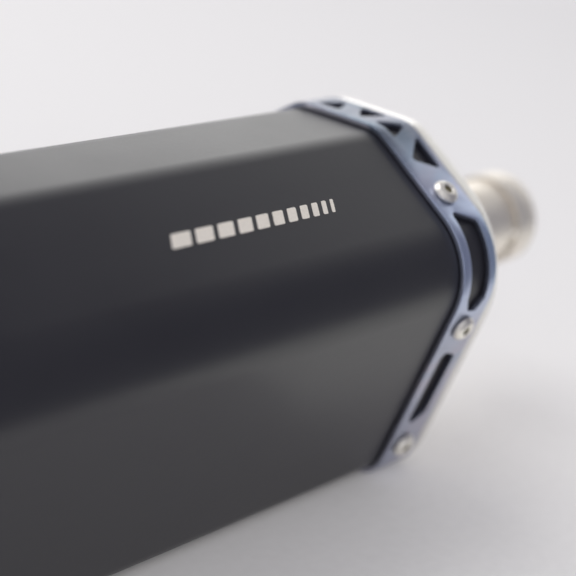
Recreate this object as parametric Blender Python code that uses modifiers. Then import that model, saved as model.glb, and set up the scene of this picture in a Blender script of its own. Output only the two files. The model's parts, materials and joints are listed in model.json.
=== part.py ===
"""Motorcycle exhaust muffler: six-sided sleeve between two windowed end rings.

Frame: metres, +Z up, X along the gas path. The origin is the middle of the inlet
ring's flat underside, so the muffler stands on z = 0; +X is the inlet end, -X the
tail end, -Y the outer side. The dimensions below are measured from the pipe axis
at the middle of the sleeve, and every part hangs on the empty "pipe_axis" there.
"""
import math

import bmesh
import bpy
from mathutils import Matrix, Vector

MM = 0.001

# ---- body section (sharp corners of the end rings' outer face, right half) ----
TOP_HALF = 15.0 * MM          # half width of the narrow top facet
SIDE_HALF = 57.4 * MM         # half width at the side corners
SIDE_Z = 19.5 * MM            # height of the side corners
BODY_TOP = 46.7 * MM
BODY_BOTTOM = -57.9 * MM
LOWER_LEAN = math.radians(17.8)   # lower facets lean in towards the bottom
CORNER_R = (12.5 * MM, 22.2 * MM, 9.0 * MM)
CORNER_STEPS = (4, 7, 5)

# ---- lengths along X ----
RING_INNER = 125.0 * MM       # ring edge towards the middle
RING_WIDTH = 14.9 * MM
SLEEVE_HALF = 139.6 * MM
CAP_SEAT = RING_INNER + RING_WIDTH + 0.3 * MM
CAP_THICK = 7.0 * MM
CAP_CORNER_R = (14.0, 32.0, 12.0)   # mm, the end plate is rounder than the ring
SKIRT_END = 127.0 * MM
GAP = 0.3 * MM

# ---- depths below the ring's outer face ----
RING_THICK = 1.5 * MM
SLEEVE_OUT = RING_THICK + GAP
SLEEVE_WALL = 1.2 * MM
SKIRT_OUT = SLEEVE_OUT + SLEEVE_WALL + GAP
SKIRT_THICK = 3.0 * MM

# ---- pipes ----
INLET_R = 18.5 * MM
SPIGOT_R = 14.0 * MM
INLET_WALL = 1.5 * MM
CONE_START, CONE_END, SPIGOT_END = 165.0 * MM, 190.0 * MM, 219.0 * MM
INLET_INNER_END = 128.0 * MM
CORE_R, CORE_WALL = 16.7 * MM, 1.2 * MM
OUTLET_R, OUTLET_WALL, OUTLET_END = 21.0 * MM, 1.5 * MM, -166.0 * MM

# ---- screws ----
SCREW_R = 2.5 * MM
SCREW_HOLE_R = 2.8 * MM
RING_SCREW_R = 2.0 * MM
RING_HOLE_R = 2.3 * MM
SCREW_S = (41.0 * MM, 84.0 * MM, 129.5 * MM)   # distance round the section
SCREW_X = RING_INNER + 6.6 * MM

# ---- hanger ----
HANGER_X, HANGER_W, HANGER_T = -80.0 * MM, 34.0 * MM, 3.5 * MM
HANGER_LOW, HANGER_BEND, HANGER_TOP = -32.9 * MM, 22.1 * MM, 71.1 * MM
HANGER_EYE_Z = 57.1 * MM
HANGER_BOLT_Z = -15.9 * MM

for old in list(bpy.data.objects):
    bpy.data.objects.remove(old, do_unlink=True)

parts = bpy.data.collections.new("exhaust_muffler")
cutters = bpy.data.collections.new("cutters")
bpy.context.scene.collection.children.link(parts)
bpy.context.scene.collection.children.link(cutters)

FINISH = {
    "matt_black": ((0.045, 0.045, 0.052), 0.5, 0.3),
    "blue_titanium": ((0.25, 0.27, 0.36), 0.33, 1.0),
    "brushed_steel": ((0.72, 0.69, 0.65), 0.3, 1.0),
    "pipe_steel": ((0.55, 0.5, 0.44), 0.35, 1.0),
    "screw_steel": ((0.66, 0.64, 0.6), 0.28, 1.0),
    "black_rubber": ((0.02, 0.02, 0.02), 0.8, 0.0),
    "glass_wool": ((0.8, 0.74, 0.55), 0.95, 0.0),
    "steel_wool": ((0.4, 0.4, 0.4), 0.6, 0.8),
}


def material(key):
    mat = bpy.data.materials.get(key)
    if mat is None:
        mat = bpy.data.materials.new(key)
        mat.use_nodes = True
        bsdf = mat.node_tree.nodes["Principled BSDF"]
        colour, rough, metal = FINISH[key]
        bsdf.inputs["Base Color"].default_value = (*colour, 1.0)
        bsdf.inputs["Roughness"].default_value = rough
        bsdf.inputs["Metallic"].default_value = metal
    return mat


def place(obj, finish=None):
    """Put an object in the parts collection, or among the cutters."""
    for c in list(obj.users_collection):
        c.objects.unlink(obj)
    if finish is None:
        cutters.objects.link(obj)
        obj.hide_render = True
        obj.display_type = "WIRE"
    else:
        parts.objects.link(obj)
        obj.data.materials.clear()
        obj.data.materials.append(material(finish))
    return obj


# ---------------------------------------------------------------- section
def section_pieces(radii):
    """Straight and round pieces of the right half, from top centre to bottom centre."""
    foot = SIDE_HALF - (SIDE_Z - BODY_BOTTOM) * math.tan(LOWER_LEAN)
    corners = [(TOP_HALF, BODY_TOP), (SIDE_HALF, SIDE_Z), (foot, BODY_BOTTOM)]
    stops = [(0.0, BODY_TOP)] + corners + [(0.0, BODY_BOTTOM)]
    heading = []
    for a, b in zip(stops, stops[1:]):
        heading.append(math.atan2(b[1] - a[1], b[0] - a[0]))
    heading[-1] = -math.pi
    out, s, start = [], 0.0, Vector(stops[0])
    for i in range(4):
        d = Vector((math.cos(heading[i]), math.sin(heading[i])))
        end = Vector(stops[i + 1])
        trim = 0.0
        if i < 3:
            turn = heading[i] - heading[i + 1]
            trim = radii[i] * math.tan(turn / 2)
        length = (end - start).length - trim
        out.append(("line", s, s + length, start.copy(), d))
        s += length
        if i < 3:
            normal = Vector((-d.y, d.x))
            centre = start + d * length - normal * radii[i]
            a0 = heading[i] + math.pi / 2
            out.append(("arc", s, s + radii[i] * turn, centre, radii[i], a0, a0 - turn))
            s += radii[i] * turn
            d2 = Vector((math.cos(heading[i + 1]), math.sin(heading[i + 1])))
            start = end + d2 * trim
    return out, s


PIECES, HALF_GIRTH = section_pieces(CORNER_R)


def section_at(s, depth=0.0, pieces=PIECES):
    """Point and outward normal (y, z) at distance s from top centre; s > 0 is the -Y side."""
    side = -1.0 if s > 0 else 1.0
    a = min(abs(s), pieces[-1][2])
    for p in pieces:
        if a <= p[2] + 1e-12:
            break
    if p[0] == "line":
        n = Vector((-p[4].y, p[4].x))
        q = p[3] + p[4] * (a - p[1]) - n * depth
    else:
        t = p[5] + (p[6] - p[5]) * (a - p[1]) / (p[2] - p[1])
        n = Vector((math.cos(t), math.sin(t)))
        q = p[3] + n * (p[4] - depth)
    return Vector((side * q.x, q.y)), Vector((side * n.x, n.y))


def section_stations(pieces):
    out = []
    arcs = [p for p in pieces if p[0] == "arc"]
    for p, n in zip(arcs, CORNER_STEPS):
        out += [p[1] + (p[2] - p[1]) * k / n for k in range(n + 1)]
    return out


STATIONS = section_stations(PIECES)


def outline(depth, pieces=PIECES):
    """Closed section outline (y, z), a given depth below the ring's outer face."""
    stations = section_stations(pieces)
    right = [section_at(-s, depth, pieces)[0] for s in stations]
    left = [section_at(s, depth, pieces)[0] for s in reversed(stations)]
    return [tuple(p) for p in right + left]


def circle(radius, n=32, cy=0.0, cz=0.0, phase=0.0):
    return [(cy + radius * math.cos(phase + 2 * math.pi * k / n),
             cz + radius * math.sin(phase + 2 * math.pi * k / n)) for k in range(n)]


# ---------------------------------------------------------------- makers
def extruded(name, loops, x0, x1, finish=None):
    """Flat outline (with holes) drawn across the body, given thickness along X."""
    curve = bpy.data.curves.new(name, "CURVE")
    curve.dimensions = "2D"
    curve.fill_mode = "BOTH"
    curve.extrude = (x1 - x0) / 2
    for loop in loops:
        spline = curve.splines.new("POLY")
        spline.points.add(len(loop) - 1)
        for point, (u, v) in zip(spline.points, loop):
            point.co = (u, v, 0.0, 1.0)
        spline.use_cyclic_u = True
    flat = bpy.data.objects.new(name + "_outline", curve)
    flat.rotation_euler = (math.pi / 2, 0.0, math.pi / 2)
    flat.location = ((x0 + x1) / 2, 0.0, 0.0)
    parts.objects.link(flat)
    return as_mesh(flat, name, finish)


def as_mesh(source, name, finish=None):
    bpy.context.view_layer.update()
    deps = bpy.context.evaluated_depsgraph_get()
    mesh = bpy.data.meshes.new_from_object(source.evaluated_get(deps))
    bm = bmesh.new()
    bm.from_mesh(mesh)
    bmesh.ops.remove_doubles(bm, verts=bm.verts, dist=1e-6)
    bm.to_mesh(mesh)
    bm.free()
    world = source.matrix_world.copy()
    bpy.data.objects.remove(source, do_unlink=True)
    obj = bpy.data.objects.new(name, mesh)
    obj.matrix_world = world
    return place(obj, finish)


def turned(name, profile, finish=None, steps=32, closed=True, along="X"):
    """Profile (radius, height) turned about its axis; the axis lies along X or Z."""
    area = sum(a[0] * b[1] - b[0] * a[1] for a, b in zip(profile, profile[1:] + profile[:1]))
    pts = list(reversed(profile)) if area > 0 else list(profile)
    if not closed:   # starts and ends on the axis, highest end first
        pts = list(profile)
    mesh = bpy.data.meshes.new(name)
    edges = [(i, i + 1) for i in range(len(pts) - 1)]
    if closed:
        edges.append((len(pts) - 1, 0))
    mesh.from_pydata([(r, 0.0, h) for r, h in pts], edges, [])
    obj = bpy.data.objects.new(name, mesh)
    if along == "X":
        obj.rotation_euler = (0.0, math.pi / 2, 0.0)
    mod = obj.modifiers.new("turn", "SCREW")
    mod.axis = "Z"
    mod.angle = 2 * math.pi
    mod.steps = mod.render_steps = steps
    mod.use_merge_vertices = True
    mod.merge_threshold = 1e-6
    place(obj, finish)
    return obj


def turned_mesh(name, profile, finish=None, steps=32, closed=True, along="X"):
    obj = turned(name, profile, finish or "screw_steel", steps, closed, along)
    return as_mesh(obj, name, finish)


def box(name, lo, hi, finish=None):
    bpy.ops.mesh.primitive_cube_add(size=1.0)
    obj = bpy.context.object
    obj.name = name
    size = [b - a for a, b in zip(lo, hi)]
    mid = [(a + b) / 2 for a, b in zip(lo, hi)]
    obj.data.transform(Matrix.Diagonal((*size, 1.0)))
    obj.location = mid
    return place(obj, finish)


def rod(name, radius, depth, matrix, sides=12, finish=None):
    bpy.ops.mesh.primitive_cylinder_add(vertices=sides, radius=radius, depth=depth)
    obj = bpy.context.object
    obj.name = name
    obj.matrix_world = matrix
    return place(obj, finish)


def boolean(obj, cutter, operation="DIFFERENCE"):
    mod = obj.modifiers.new("cut_" + cutter.name, "BOOLEAN")
    mod.operation = operation
    mod.solver = "EXACT"
    mod.object = cutter
    return obj


def joined(name, objects):
    """Several separate cutters as one cutter object."""
    bm = bmesh.new()
    for o in objects:
        bpy.context.view_layer.update()
        copy = o.data.copy()
        copy.transform(o.matrix_world)
        bm.from_mesh(copy)
        bpy.data.meshes.remove(copy)
        bpy.data.objects.remove(o, do_unlink=True)
    mesh = bpy.data.meshes.new(name)
    bm.to_mesh(mesh)
    bm.free()
    return place(bpy.data.objects.new(name, mesh))


def facing(x, s, depth=0.0):
    """Placement whose +Z points out of the body at section distance s."""
    p, n = section_at(s, depth)
    turn = math.atan2(-n.x, n.y)
    return Matrix.Translation((x, p.x, p.y)) @ Matrix.Rotation(turn, 4, "X")


# ---------------------------------------------------------------- ring windows
def rounded(points, radius, steps=2):
    """Polygon with its corners rounded."""
    out = []
    n = len(points)
    for i in range(n):
        p, a, b = (Vector(points[i]), Vector(points[i - 1]), Vector(points[(i + 1) % n]))
        u, v = (a - p).normalized(), (b - p).normalized()
        half = math.acos(max(-1.0, min(1.0, u.dot(v)))) / 2
        r = min(radius, 0.45 * min((a - p).length, (b - p).length) * math.tan(half))
        t = r / math.tan(half)
        c = p + (u + v).normalized() * (r / math.sin(half))
        a0 = math.atan2(*reversed(p + u * t - c))
        a1 = math.atan2(*reversed(p + v * t - c))
        d = (a1 - a0 + math.pi) % (2 * math.pi) - math.pi
        out += [(c.x + r * math.cos(a0 + d * k / steps), c.y + r * math.sin(a0 + d * k / steps))
                for k in range(steps + 1)]
    return out


def window_cutter(name, shape):
    """Closed cutter for a window drawn as (s, x) and wrapped round the section."""
    stations = sorted({round(p[0], 7) for p in shape})
    lo, hi = stations[0], stations[-1]
    for t in STATIONS:
        for q in (t, -t):
            if lo < q < hi and min(abs(q - v) for v in stations) > 0.0006:
                stations.append(q)
    stations = [s for s in sorted(stations) if lo + 0.2 * MM < s < hi - 0.2 * MM]
    stations = [lo] + stations + [hi]
    n = len(shape)
    rows = []
    for s in stations:
        s_in = min(max(s, lo + 0.08 * MM), hi - 0.08 * MM)
        xs = []
        for i in range(n):
            (s0, x0), (s1, x1) = shape[i], shape[(i + 1) % n]
            if (s0 - s_in) * (s1 - s_in) < 0:
                xs.append(x0 + (x1 - x0) * (s_in - s0) / (s1 - s0))
        rows.append((s_in, min(xs), max(xs)))
    bm = bmesh.new()
    loops = []
    for s, xa, xb in rows:
        ring = []
        for x, depth in ((xa, -1.5 * MM), (xb, -1.5 * MM), (xb, RING_THICK + 0.2 * MM), (xa, RING_THICK + 0.2 * MM)):
            p, _ = section_at(s, depth)
            ring.append(bm.verts.new((x, p.x, p.y)))
        loops.append(ring)
    for a, b in zip(loops, loops[1:]):
        for i in range(4):
            j = (i + 1) % 4
            bm.faces.new((a[i], a[j], b[j], b[i]))
    bm.faces.new(loops[0])
    bm.faces.new(list(reversed(loops[-1])))
    bmesh.ops.recalc_face_normals(bm, faces=bm.faces)
    mesh = bpy.data.meshes.new(name)
    bm.to_mesh(mesh)
    bm.free()
    return place(bpy.data.objects.new(name, mesh))


# triangles of the strip as (base centre, half base, base x, tip, tip x): mm round the
# section and mm across the ring from its inner edge
TRUSS = (
    (-29.5, 4.7, 3.9, -29.1, 12.9), (-18.3, 4.7, 12.9, -17.9, 3.9), (-7.0, 4.2, 4.0, -7.2, 12.7),
    (3.3, 5.0, 12.8, 5.2, 4.0), (15.0, 4.6, 3.9, 15.8, 11.9), (26.5, 6.2, 12.9, 27.8, 4.4))


def ring_windows():
    shapes = []
    for c, half, base, tip, tip_x in TRUSS:
        shapes.append(rounded([(c - half, base), (c + half, base), (tip, tip_x)], 0.9))
    side = [(46.6, 3.6), (51.4, 11.7), (74.8, 11.7), (78.6, 9.6), (78.0, 5.7), (73.8, 3.5)]
    low = [(93.0, 4.0), (95.6, 10.9), (118.5, 10.9), (121.5, 4.0)]
    for sign in (1, -1):
        shapes.append(rounded([(sign * s, x) for s, x in side], 1.3))
        shapes.append(rounded([(sign * s, x) for s, x in low], 1.9))
    out = []
    for k, shape in enumerate(shapes):
        out.append(window_cutter(f"window_{k}", [(s * MM, RING_INNER + x * MM) for s, x in shape]))
    return out


def screw_holes(name, x, lo, hi):
    made = []
    for side in (1, -1):
        for s in SCREW_S:
            m = facing(x, side * s, (lo + hi) / 2)
            made.append(rod("hole", RING_HOLE_R, hi - lo, m, 10))
    return joined(name, made)


# ---------------------------------------------------------------- end rings
inlet_ring = extruded("inlet_ring", [outline(0.0), outline(RING_THICK)],
                      RING_INNER, RING_INNER + RING_WIDTH, "blue_titanium")
boolean(inlet_ring, joined("ring_windows", ring_windows()))
boolean(inlet_ring, screw_holes("ring_holes", SCREW_X, -2 * MM, RING_THICK + 0.2 * MM))
bpy.context.view_layer.update()
ring_mesh = bpy.data.meshes.new_from_object(
    inlet_ring.evaluated_get(bpy.context.evaluated_depsgraph_get()))
ring_mesh.transform(inlet_ring.matrix_world)
bm = bmesh.new()
bm.from_mesh(ring_mesh)
bmesh.ops.remove_doubles(bm, verts=bm.verts, dist=2e-6)
bmesh.ops.dissolve_degenerate(bm, edges=bm.edges, dist=2e-6)
bm.to_mesh(ring_mesh)
bm.free()
bpy.data.objects.remove(inlet_ring, do_unlink=True)
for name, turn in (("inlet_ring", 0.0), ("outlet_ring", math.pi)):
    ring = bpy.data.objects.new(name, ring_mesh)
    ring.rotation_euler = (0.0, 0.0, turn)
    place(ring, "blue_titanium")

# ---------------------------------------------------------------- sleeve
sleeve = extruded("outer_sleeve", [outline(SLEEVE_OUT), outline(SLEEVE_OUT + SLEEVE_WALL)],
                  -SLEEVE_HALF, SLEEVE_HALF, "matt_black")
boolean(sleeve, screw_holes("sleeve_holes_in", SCREW_X, SLEEVE_OUT - 1 * MM, SKIRT_OUT - 0.1 * MM))
boolean(sleeve, screw_holes("sleeve_holes_out", -SCREW_X, SLEEVE_OUT - 1 * MM, SKIRT_OUT - 0.1 * MM))

# ---------------------------------------------------------------- seals
SEAL_THICK = 2.7 * MM
for name, x0, x1 in (("inlet_seal", 124.2, 126.7), ("outlet_seal", -126.7, -124.2)):
    extruded(name, [outline(SKIRT_OUT), outline(SKIRT_OUT + SEAL_THICK)], x0 * MM, x1 * MM, "black_rubber")


# ---------------------------------------------------------------- end caps
CAP_PIECES, _ = section_pieces([r * MM for r in CAP_CORNER_R])


def end_cap(name, bore_r, turn):
    """Bright end plate: rolled rim, sunk field, collar round the pipe, skirt inside the sleeve."""
    x0, x1 = CAP_SEAT, CAP_SEAT + CAP_THICK
    plate = extruded(name, [outline(0.0, CAP_PIECES), circle(bore_r)], x0, x1, "brushed_steel")
    bm = bmesh.new()
    bm.from_mesh(plate.data)
    weight = bm.edges.layers.float.new("bevel_weight_edge")
    face_x = CAP_THICK / 2
    for e in bm.edges:
        ends = [v.co for v in e.verts]
        if all(c.z > face_x - 1e-6 and math.hypot(c.x, c.y) > 40 * MM for c in ends) and len(e.link_faces) == 2:
            flat = [abs(f.normal.z) > 0.9 for f in e.link_faces]
            if flat[0] != flat[1]:
                e[weight] = 1.0
    bm.to_mesh(plate.data)
    bm.free()
    bevel = plate.modifiers.new("rim", "BEVEL")
    bevel.limit_method = "WEIGHT"
    bevel.width = 3.5 * MM
    bevel.segments = 4
    skirt = extruded(name + "_skirt", [outline(SKIRT_OUT), outline(SKIRT_OUT + SKIRT_THICK)],
                     SKIRT_END, x0 + 1.0 * MM)
    boolean(plate, skirt, "UNION")
    field = extruded(name + "_field", [outline(9.0 * MM, CAP_PIECES), circle(bore_r + 5.0 * MM, 32)],
                     x1 - 2.0 * MM, x1 + 2.0 * MM)
    boolean(plate, field)
    boolean(plate, screw_holes(name + "_holes", SCREW_X, SKIRT_OUT - 1 * MM, SKIRT_OUT + SKIRT_THICK + 1 * MM))
    bpy.context.view_layer.update()
    mesh = bpy.data.meshes.new_from_object(plate.evaluated_get(bpy.context.evaluated_depsgraph_get()))
    mesh.transform(Matrix.Rotation(turn, 4, "Z") @ plate.matrix_world)
    bpy.data.objects.remove(plate, do_unlink=True)
    return place(bpy.data.objects.new(name, mesh), "brushed_steel")


end_cap("inlet_end_cap", INLET_R + GAP, 0.0)
end_cap("outlet_end_cap", OUTLET_R + GAP, math.pi)


# ---------------------------------------------------------------- button-head screws
def button_screw(name):
    top = 2.3 * MM
    profile = [(0.0, top), (2.2 * MM, top), (3.1 * MM, 1.75 * MM), (3.8 * MM, 0.8 * MM), (3.8 * MM, GAP),
               (RING_SCREW_R, GAP), (RING_SCREW_R, -7.5 * MM), (0.0, -7.5 * MM)]
    obj = turned(name, profile, "screw_steel", 12, False, "Z")
    hexa = rod(name + "_socket", 1.45 * MM, 2.6 * MM, Matrix.Translation((0, 0, top)), 6)
    boolean(obj, hexa)
    bpy.context.view_layer.update()
    mesh = bpy.data.meshes.new_from_object(obj.evaluated_get(bpy.context.evaluated_depsgraph_get()))
    bpy.data.objects.remove(obj, do_unlink=True)
    bpy.data.objects.remove(hexa, do_unlink=True)
    mesh.shade_smooth()
    mesh.set_sharp_from_angle(angle=math.radians(35))
    return mesh


screw_mesh = button_screw("ring_screw")
for end, x in (("inlet", SCREW_X), ("outlet", -SCREW_X)):
    k = 0
    for side in (1, -1):
        for s in SCREW_S:
            k += 1
            screw = bpy.data.objects.new(f"{end}_screw_{k}", screw_mesh)
            screw.matrix_world = facing(x, side * s)
            place(screw, "screw_steel")


# ---------------------------------------------------------------- inlet pipe
def shell_profile(outer, wall):
    """Closed tube profile from an outer line (radius, x) and a wall thickness."""
    inner = []
    for i, (r, x) in enumerate(outer):
        inner.append((r - wall, x))
    return outer + list(reversed(inner))


pipe = turned_mesh("inlet_pipe", shell_profile(
    [(INLET_R, INLET_INNER_END), (INLET_R, CONE_START), (SPIGOT_R, CONE_END), (SPIGOT_R, SPIGOT_END)],
    INLET_WALL), "pipe_steel")
slits = joined("spigot_slits", [
    box("slit_a", (SPIGOT_END - 13 * MM, -18 * MM, -0.9 * MM), (SPIGOT_END + 2 * MM, 18 * MM, 0.9 * MM))])
boolean(pipe, slits)

# ---------------------------------------------------------------- slip-joint clamp
CLAMP_X0, CLAMP_X1 = SPIGOT_END - 11.5 * MM, SPIGOT_END - 1.5 * MM
CLAMP_IN, CLAMP_OUT = SPIGOT_R + GAP, SPIGOT_R + GAP + 1.1 * MM
LUG_Y, LUG_IN, LUG_OUT = 26.5 * MM, 2.0 * MM, 3.7 * MM


def clamp_outline():
    pts = []
    a_in = math.asin(LUG_IN / CLAMP_IN)
    a_out = math.asin(LUG_OUT / CLAMP_OUT)
    n = 28
    pts += [(CLAMP_IN * math.cos(a_in + (2 * math.pi - 2 * a_in) * k / n),
             CLAMP_IN * math.sin(a_in + (2 * math.pi - 2 * a_in) * k / n)) for k in range(n + 1)]
    pts += [(LUG_Y, -LUG_IN), (LUG_Y, -LUG_OUT)]
    pts += [(CLAMP_OUT * math.cos(-a_out - (2 * math.pi - 2 * a_out) * k / n),
             CLAMP_OUT * math.sin(-a_out - (2 * math.pi - 2 * a_out) * k / n)) for k in range(n + 1)]
    pts += [(LUG_Y, LUG_OUT), (LUG_Y, LUG_IN)]
    return pts


band = extruded("clamp_band", [clamp_outline()], CLAMP_X0, CLAMP_X1, "brushed_steel")
BOLT_AT = ((CLAMP_X0 + CLAMP_X1) / 2, 21.0 * MM)
boolean(band, rod("clamp_hole", SCREW_HOLE_R, 12 * MM, Matrix.Translation((*BOLT_AT, 0.0)), 16))
bolt = turned("clamp_bolt", [(0.0, 9.0 * MM), (4.2 * MM, 9.0 * MM), (4.2 * MM, LUG_OUT + GAP), (SCREW_R, LUG_OUT + GAP),
                             (SCREW_R, -10.0 * MM), (0.0, -10.0 * MM)], "screw_steel", 16, False, "Z")
bolt.location = (*BOLT_AT, 0.0)
boolean(bolt, rod("clamp_socket", 2.3 * MM, 6.0 * MM, Matrix.Translation((*BOLT_AT, 9.0 * MM)), 6))
nut = rod("clamp_nut", 4.62 * MM, 4.0 * MM, Matrix.Translation((*BOLT_AT, -LUG_OUT - GAP - 2.0 * MM)), 6, "screw_steel")
boolean(nut, rod("clamp_nut_bore", SCREW_HOLE_R, 8.0 * MM, Matrix.Translation((*BOLT_AT, -LUG_OUT - 2.0 * MM)), 16))

# ---------------------------------------------------------------- perforated core
core = turned_mesh("core_tube", shell_profile([(CORE_R, -131.0 * MM), (CORE_R, 134.0 * MM)], CORE_WALL),
                   "pipe_steel", 24)
drills = []
HOLE_ROWS, HOLE_R = 8, 3.2 * MM
for row in range(HOLE_ROWS):
    x = -98.0 * MM + row * 28.0 * MM
    for k in range(3):      # each drill goes right through both walls
        angle = math.pi * k / 3 + (math.pi / 6 if row % 2 else 0.0)
        m = Matrix.Translation((x, 0, 0)) @ Matrix.Rotation(angle, 4, "X")
        drills.append((m, x + k))
made = []
for m, _ in drills:
    for sign in (1, -1):
        mm = m @ Matrix.Translation((0, 0, sign * (CORE_R - CORE_WALL / 2)))
        made.append(rod("drill", HOLE_R, 6 * MM, mm, 6))
boolean(core, joined("core_drills", made))

turned("steel_wool_wrap", shell_profile([(CORE_R + GAP + 3.0 * MM, -125.0 * MM), (CORE_R + GAP + 3.0 * MM, 125.0 * MM)],
                                        3.0 * MM), "steel_wool", 24)
packing = extruded("glass_wool_packing", [outline(SKIRT_OUT), circle(CORE_R + 2 * GAP + 3.1 * MM, 24)],
                   -123.9 * MM, 123.9 * MM, "glass_wool")
turned("core_support_ring", shell_profile([(OUTLET_R - OUTLET_WALL - GAP, -134.0 * MM),
                                           (OUTLET_R - OUTLET_WALL - GAP, -129.0 * MM)],
                                          OUTLET_R - OUTLET_WALL - GAP - CORE_R - GAP), "pipe_steel")

# ---------------------------------------------------------------- outlet tube and its insert
outlet = turned_mesh("outlet_tube", [
    (OUTLET_R, -128.0 * MM), (OUTLET_R, OUTLET_END + 3.0 * MM), (OUTLET_R + 1.6 * MM, OUTLET_END + 2.2 * MM),
    (OUTLET_R + 1.6 * MM, OUTLET_END), (OUTLET_R - OUTLET_WALL, OUTLET_END), (OUTLET_R - OUTLET_WALL, -128.0 * MM)],
    "pipe_steel")
INSERT_R = OUTLET_R - OUTLET_WALL - GAP
insert = turned_mesh("db_killer_insert", [
    (INSERT_R, -149.0 * MM), (INSERT_R, -163.0 * MM), (9.5 * MM, -163.0 * MM), (9.5 * MM, -92.0 * MM),
    (11.0 * MM, -92.0 * MM), (11.0 * MM, -161.4 * MM), (INSERT_R - 1.4 * MM, -161.4 * MM), (INSERT_R - 1.4 * MM, -149.0 * MM)],
    "brushed_steel")
PIN_X = -156.0 * MM
made = []
for row in range(3):
    for k in range(4):
        m = Matrix.Translation((-100.0 * MM - row * 12 * MM, 0, 0)) @ Matrix.Rotation(math.pi / 2 * k + math.pi / 4 * row, 4, "X")
        made.append(rod("drill", 2.5 * MM, 5 * MM, m @ Matrix.Translation((0, 0, 10.25 * MM)), 6))
boolean(insert, joined("insert_drills", made))

boolean(outlet, rod("insert_screw_hole", SCREW_HOLE_R, 8 * MM, Matrix.Translation((PIN_X, 0, -20 * MM)), 12))
weld_nut = rod("insert_screw_nut", 5.5 * MM, 4.0 * MM, Matrix.Translation((PIN_X, 0, -OUTLET_R - GAP - 2.0 * MM)), 6, "screw_steel")
boolean(weld_nut, rod("insert_nut_bore", SCREW_HOLE_R, 10 * MM, Matrix.Translation((PIN_X, 0, -23 * MM)), 12))
pin = turned("insert_screw", [
    (0.0, 8.6 * MM), (3.2 * MM, 8.6 * MM), (4.6 * MM, 7.2 * MM), (4.6 * MM, 5.9 * MM), (SCREW_R, 5.9 * MM),
    (SCREW_R, 0.0), (0.0, 0.0)], "screw_steel", 12, False, "Z")
pin.rotation_euler = (math.pi, 0, 0)
pin.location = (PIN_X, 0, -OUTLET_R + 1.2 * MM)
boolean(pin, rod("pin_socket", 1.9 * MM, 4.0 * MM, Matrix.Translation((PIN_X, 0, -OUTLET_R + 1.2 * MM - 8.6 * MM)), 6))

# ---------------------------------------------------------------- hanger on the inner (+Y) side
lean_d = Vector((math.sin(LOWER_LEAN), math.cos(LOWER_LEAN)))     # up along the lower facet (y, z)
lean_n = Vector((math.cos(LOWER_LEAN), -math.sin(LOWER_LEAN)))    # out of the lower facet


def facet_point(z, depth):
    """Point on the right lower facet's plane at height z, a depth below the ring face."""
    base = Vector((SIDE_HALF, SIDE_Z)) - lean_n * depth
    return base + lean_d * ((z - base.y) / lean_d.y)


near = SLEEVE_OUT - GAP
a0, b0 = facet_point(HANGER_LOW, near), facet_point(HANGER_BEND, near)
c0 = Vector((b0.x, HANGER_TOP))
a1 = a0 + lean_n * HANGER_T
c1 = Vector((b0.x + HANGER_T, HANGER_TOP))
b1 = b0 + Vector((HANGER_T, -HANGER_T * math.tan(LOWER_LEAN / 2)))
hanger = extruded("hanger_bracket", [[tuple(p) for p in (a0, a1, b1, c1, c0, b0)]],
                  HANGER_X - HANGER_W / 2, HANGER_X + HANGER_W / 2, "brushed_steel")
bm = bmesh.new()
bm.from_mesh(hanger.data)
bmesh.ops.dissolve_limit(bm, angle_limit=0.01, verts=bm.verts, edges=bm.edges)
weight = bm.edges.layers.float.new("bevel_weight_edge")
for e in bm.edges:
    p, q = e.verts[0].co, e.verts[1].co
    if abs(p.z - q.z) < 1e-6 and abs((p - q).length - HANGER_T) < 2e-4 and len(e.link_faces) == 2:
        if (p.y > HANGER_TOP - 1e-5 and q.y > HANGER_TOP - 1e-5) or max(p.y, q.y) < HANGER_LOW + 2 * MM:
            e[weight] = 1.0
bm.to_mesh(hanger.data)
bm.free()
bevel = hanger.modifiers.new("corners", "BEVEL")
bevel.limit_method = "WEIGHT"
bevel.width = 9.0 * MM
bevel.segments = 3

eye_y = b0.x + HANGER_T / 2
eye = Matrix.Translation((HANGER_X, eye_y, HANGER_EYE_Z)) @ Matrix.Rotation(math.pi / 2, 4, "X")
EYE_R = 9.3 * MM
bolt_places = []
for dx in (-9.0 * MM, 9.0 * MM):
    p = facet_point(HANGER_BOLT_Z, 0.0)
    out = Vector((0.0, lean_n.x, lean_n.y))
    up = out.cross(Vector((1, 0, 0)))
    m = Matrix((Vector((1, 0, 0)), up, out)).transposed().to_4x4()
    m.translation = (HANGER_X + dx, p.x, p.y)
    bolt_places.append(m)
made = [rod("eye", EYE_R, 20 * MM, eye, 24)]
for m in bolt_places:
    made.append(rod("bolt_hole", 3.3 * MM, 20 * MM, m, 12))
bolt_cut = joined("hanger_cuts", made)
boolean(hanger, bolt_cut)
made = [rod("bolt_hole", 3.3 * MM, 6.5 * MM, m @ Matrix.Translation((0, 0, -3.4 * MM)), 12) for m in bolt_places]
boolean(sleeve, joined("sleeve_bolt_holes", made))

frame_m = bolt_places[0].copy()
frame_m.translation = (frame_m.translation + bolt_places[1].translation) / 2
bpy.ops.mesh.primitive_cube_add(size=1.0)
backing = bpy.context.object
backing.name = "hanger_backing_plate"
backing.data.transform(Matrix.Diagonal((36 * MM, 20 * MM, 3.0 * MM, 1.0)))
backing.matrix_world = frame_m @ Matrix.Translation((0, 0, -SKIRT_OUT - 1.5 * MM))
place(backing, "brushed_steel")
made = [rod("bolt_hole", 3.3 * MM, 6 * MM, m @ Matrix.Translation((0, 0, -SKIRT_OUT - 1.5 * MM)), 12) for m in bolt_places]
boolean(backing, joined("backing_holes", made))
bpy.ops.mesh.primitive_cube_add(size=1.0)
pocket = bpy.context.object
pocket.name = "packing_pocket"
pocket.data.transform(Matrix.Diagonal((38 * MM, 22 * MM, 10 * MM, 1.0)))
pocket.matrix_world = frame_m @ Matrix.Translation((0, 0, -SKIRT_OUT - 1.5 * MM))
place(pocket)
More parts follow.
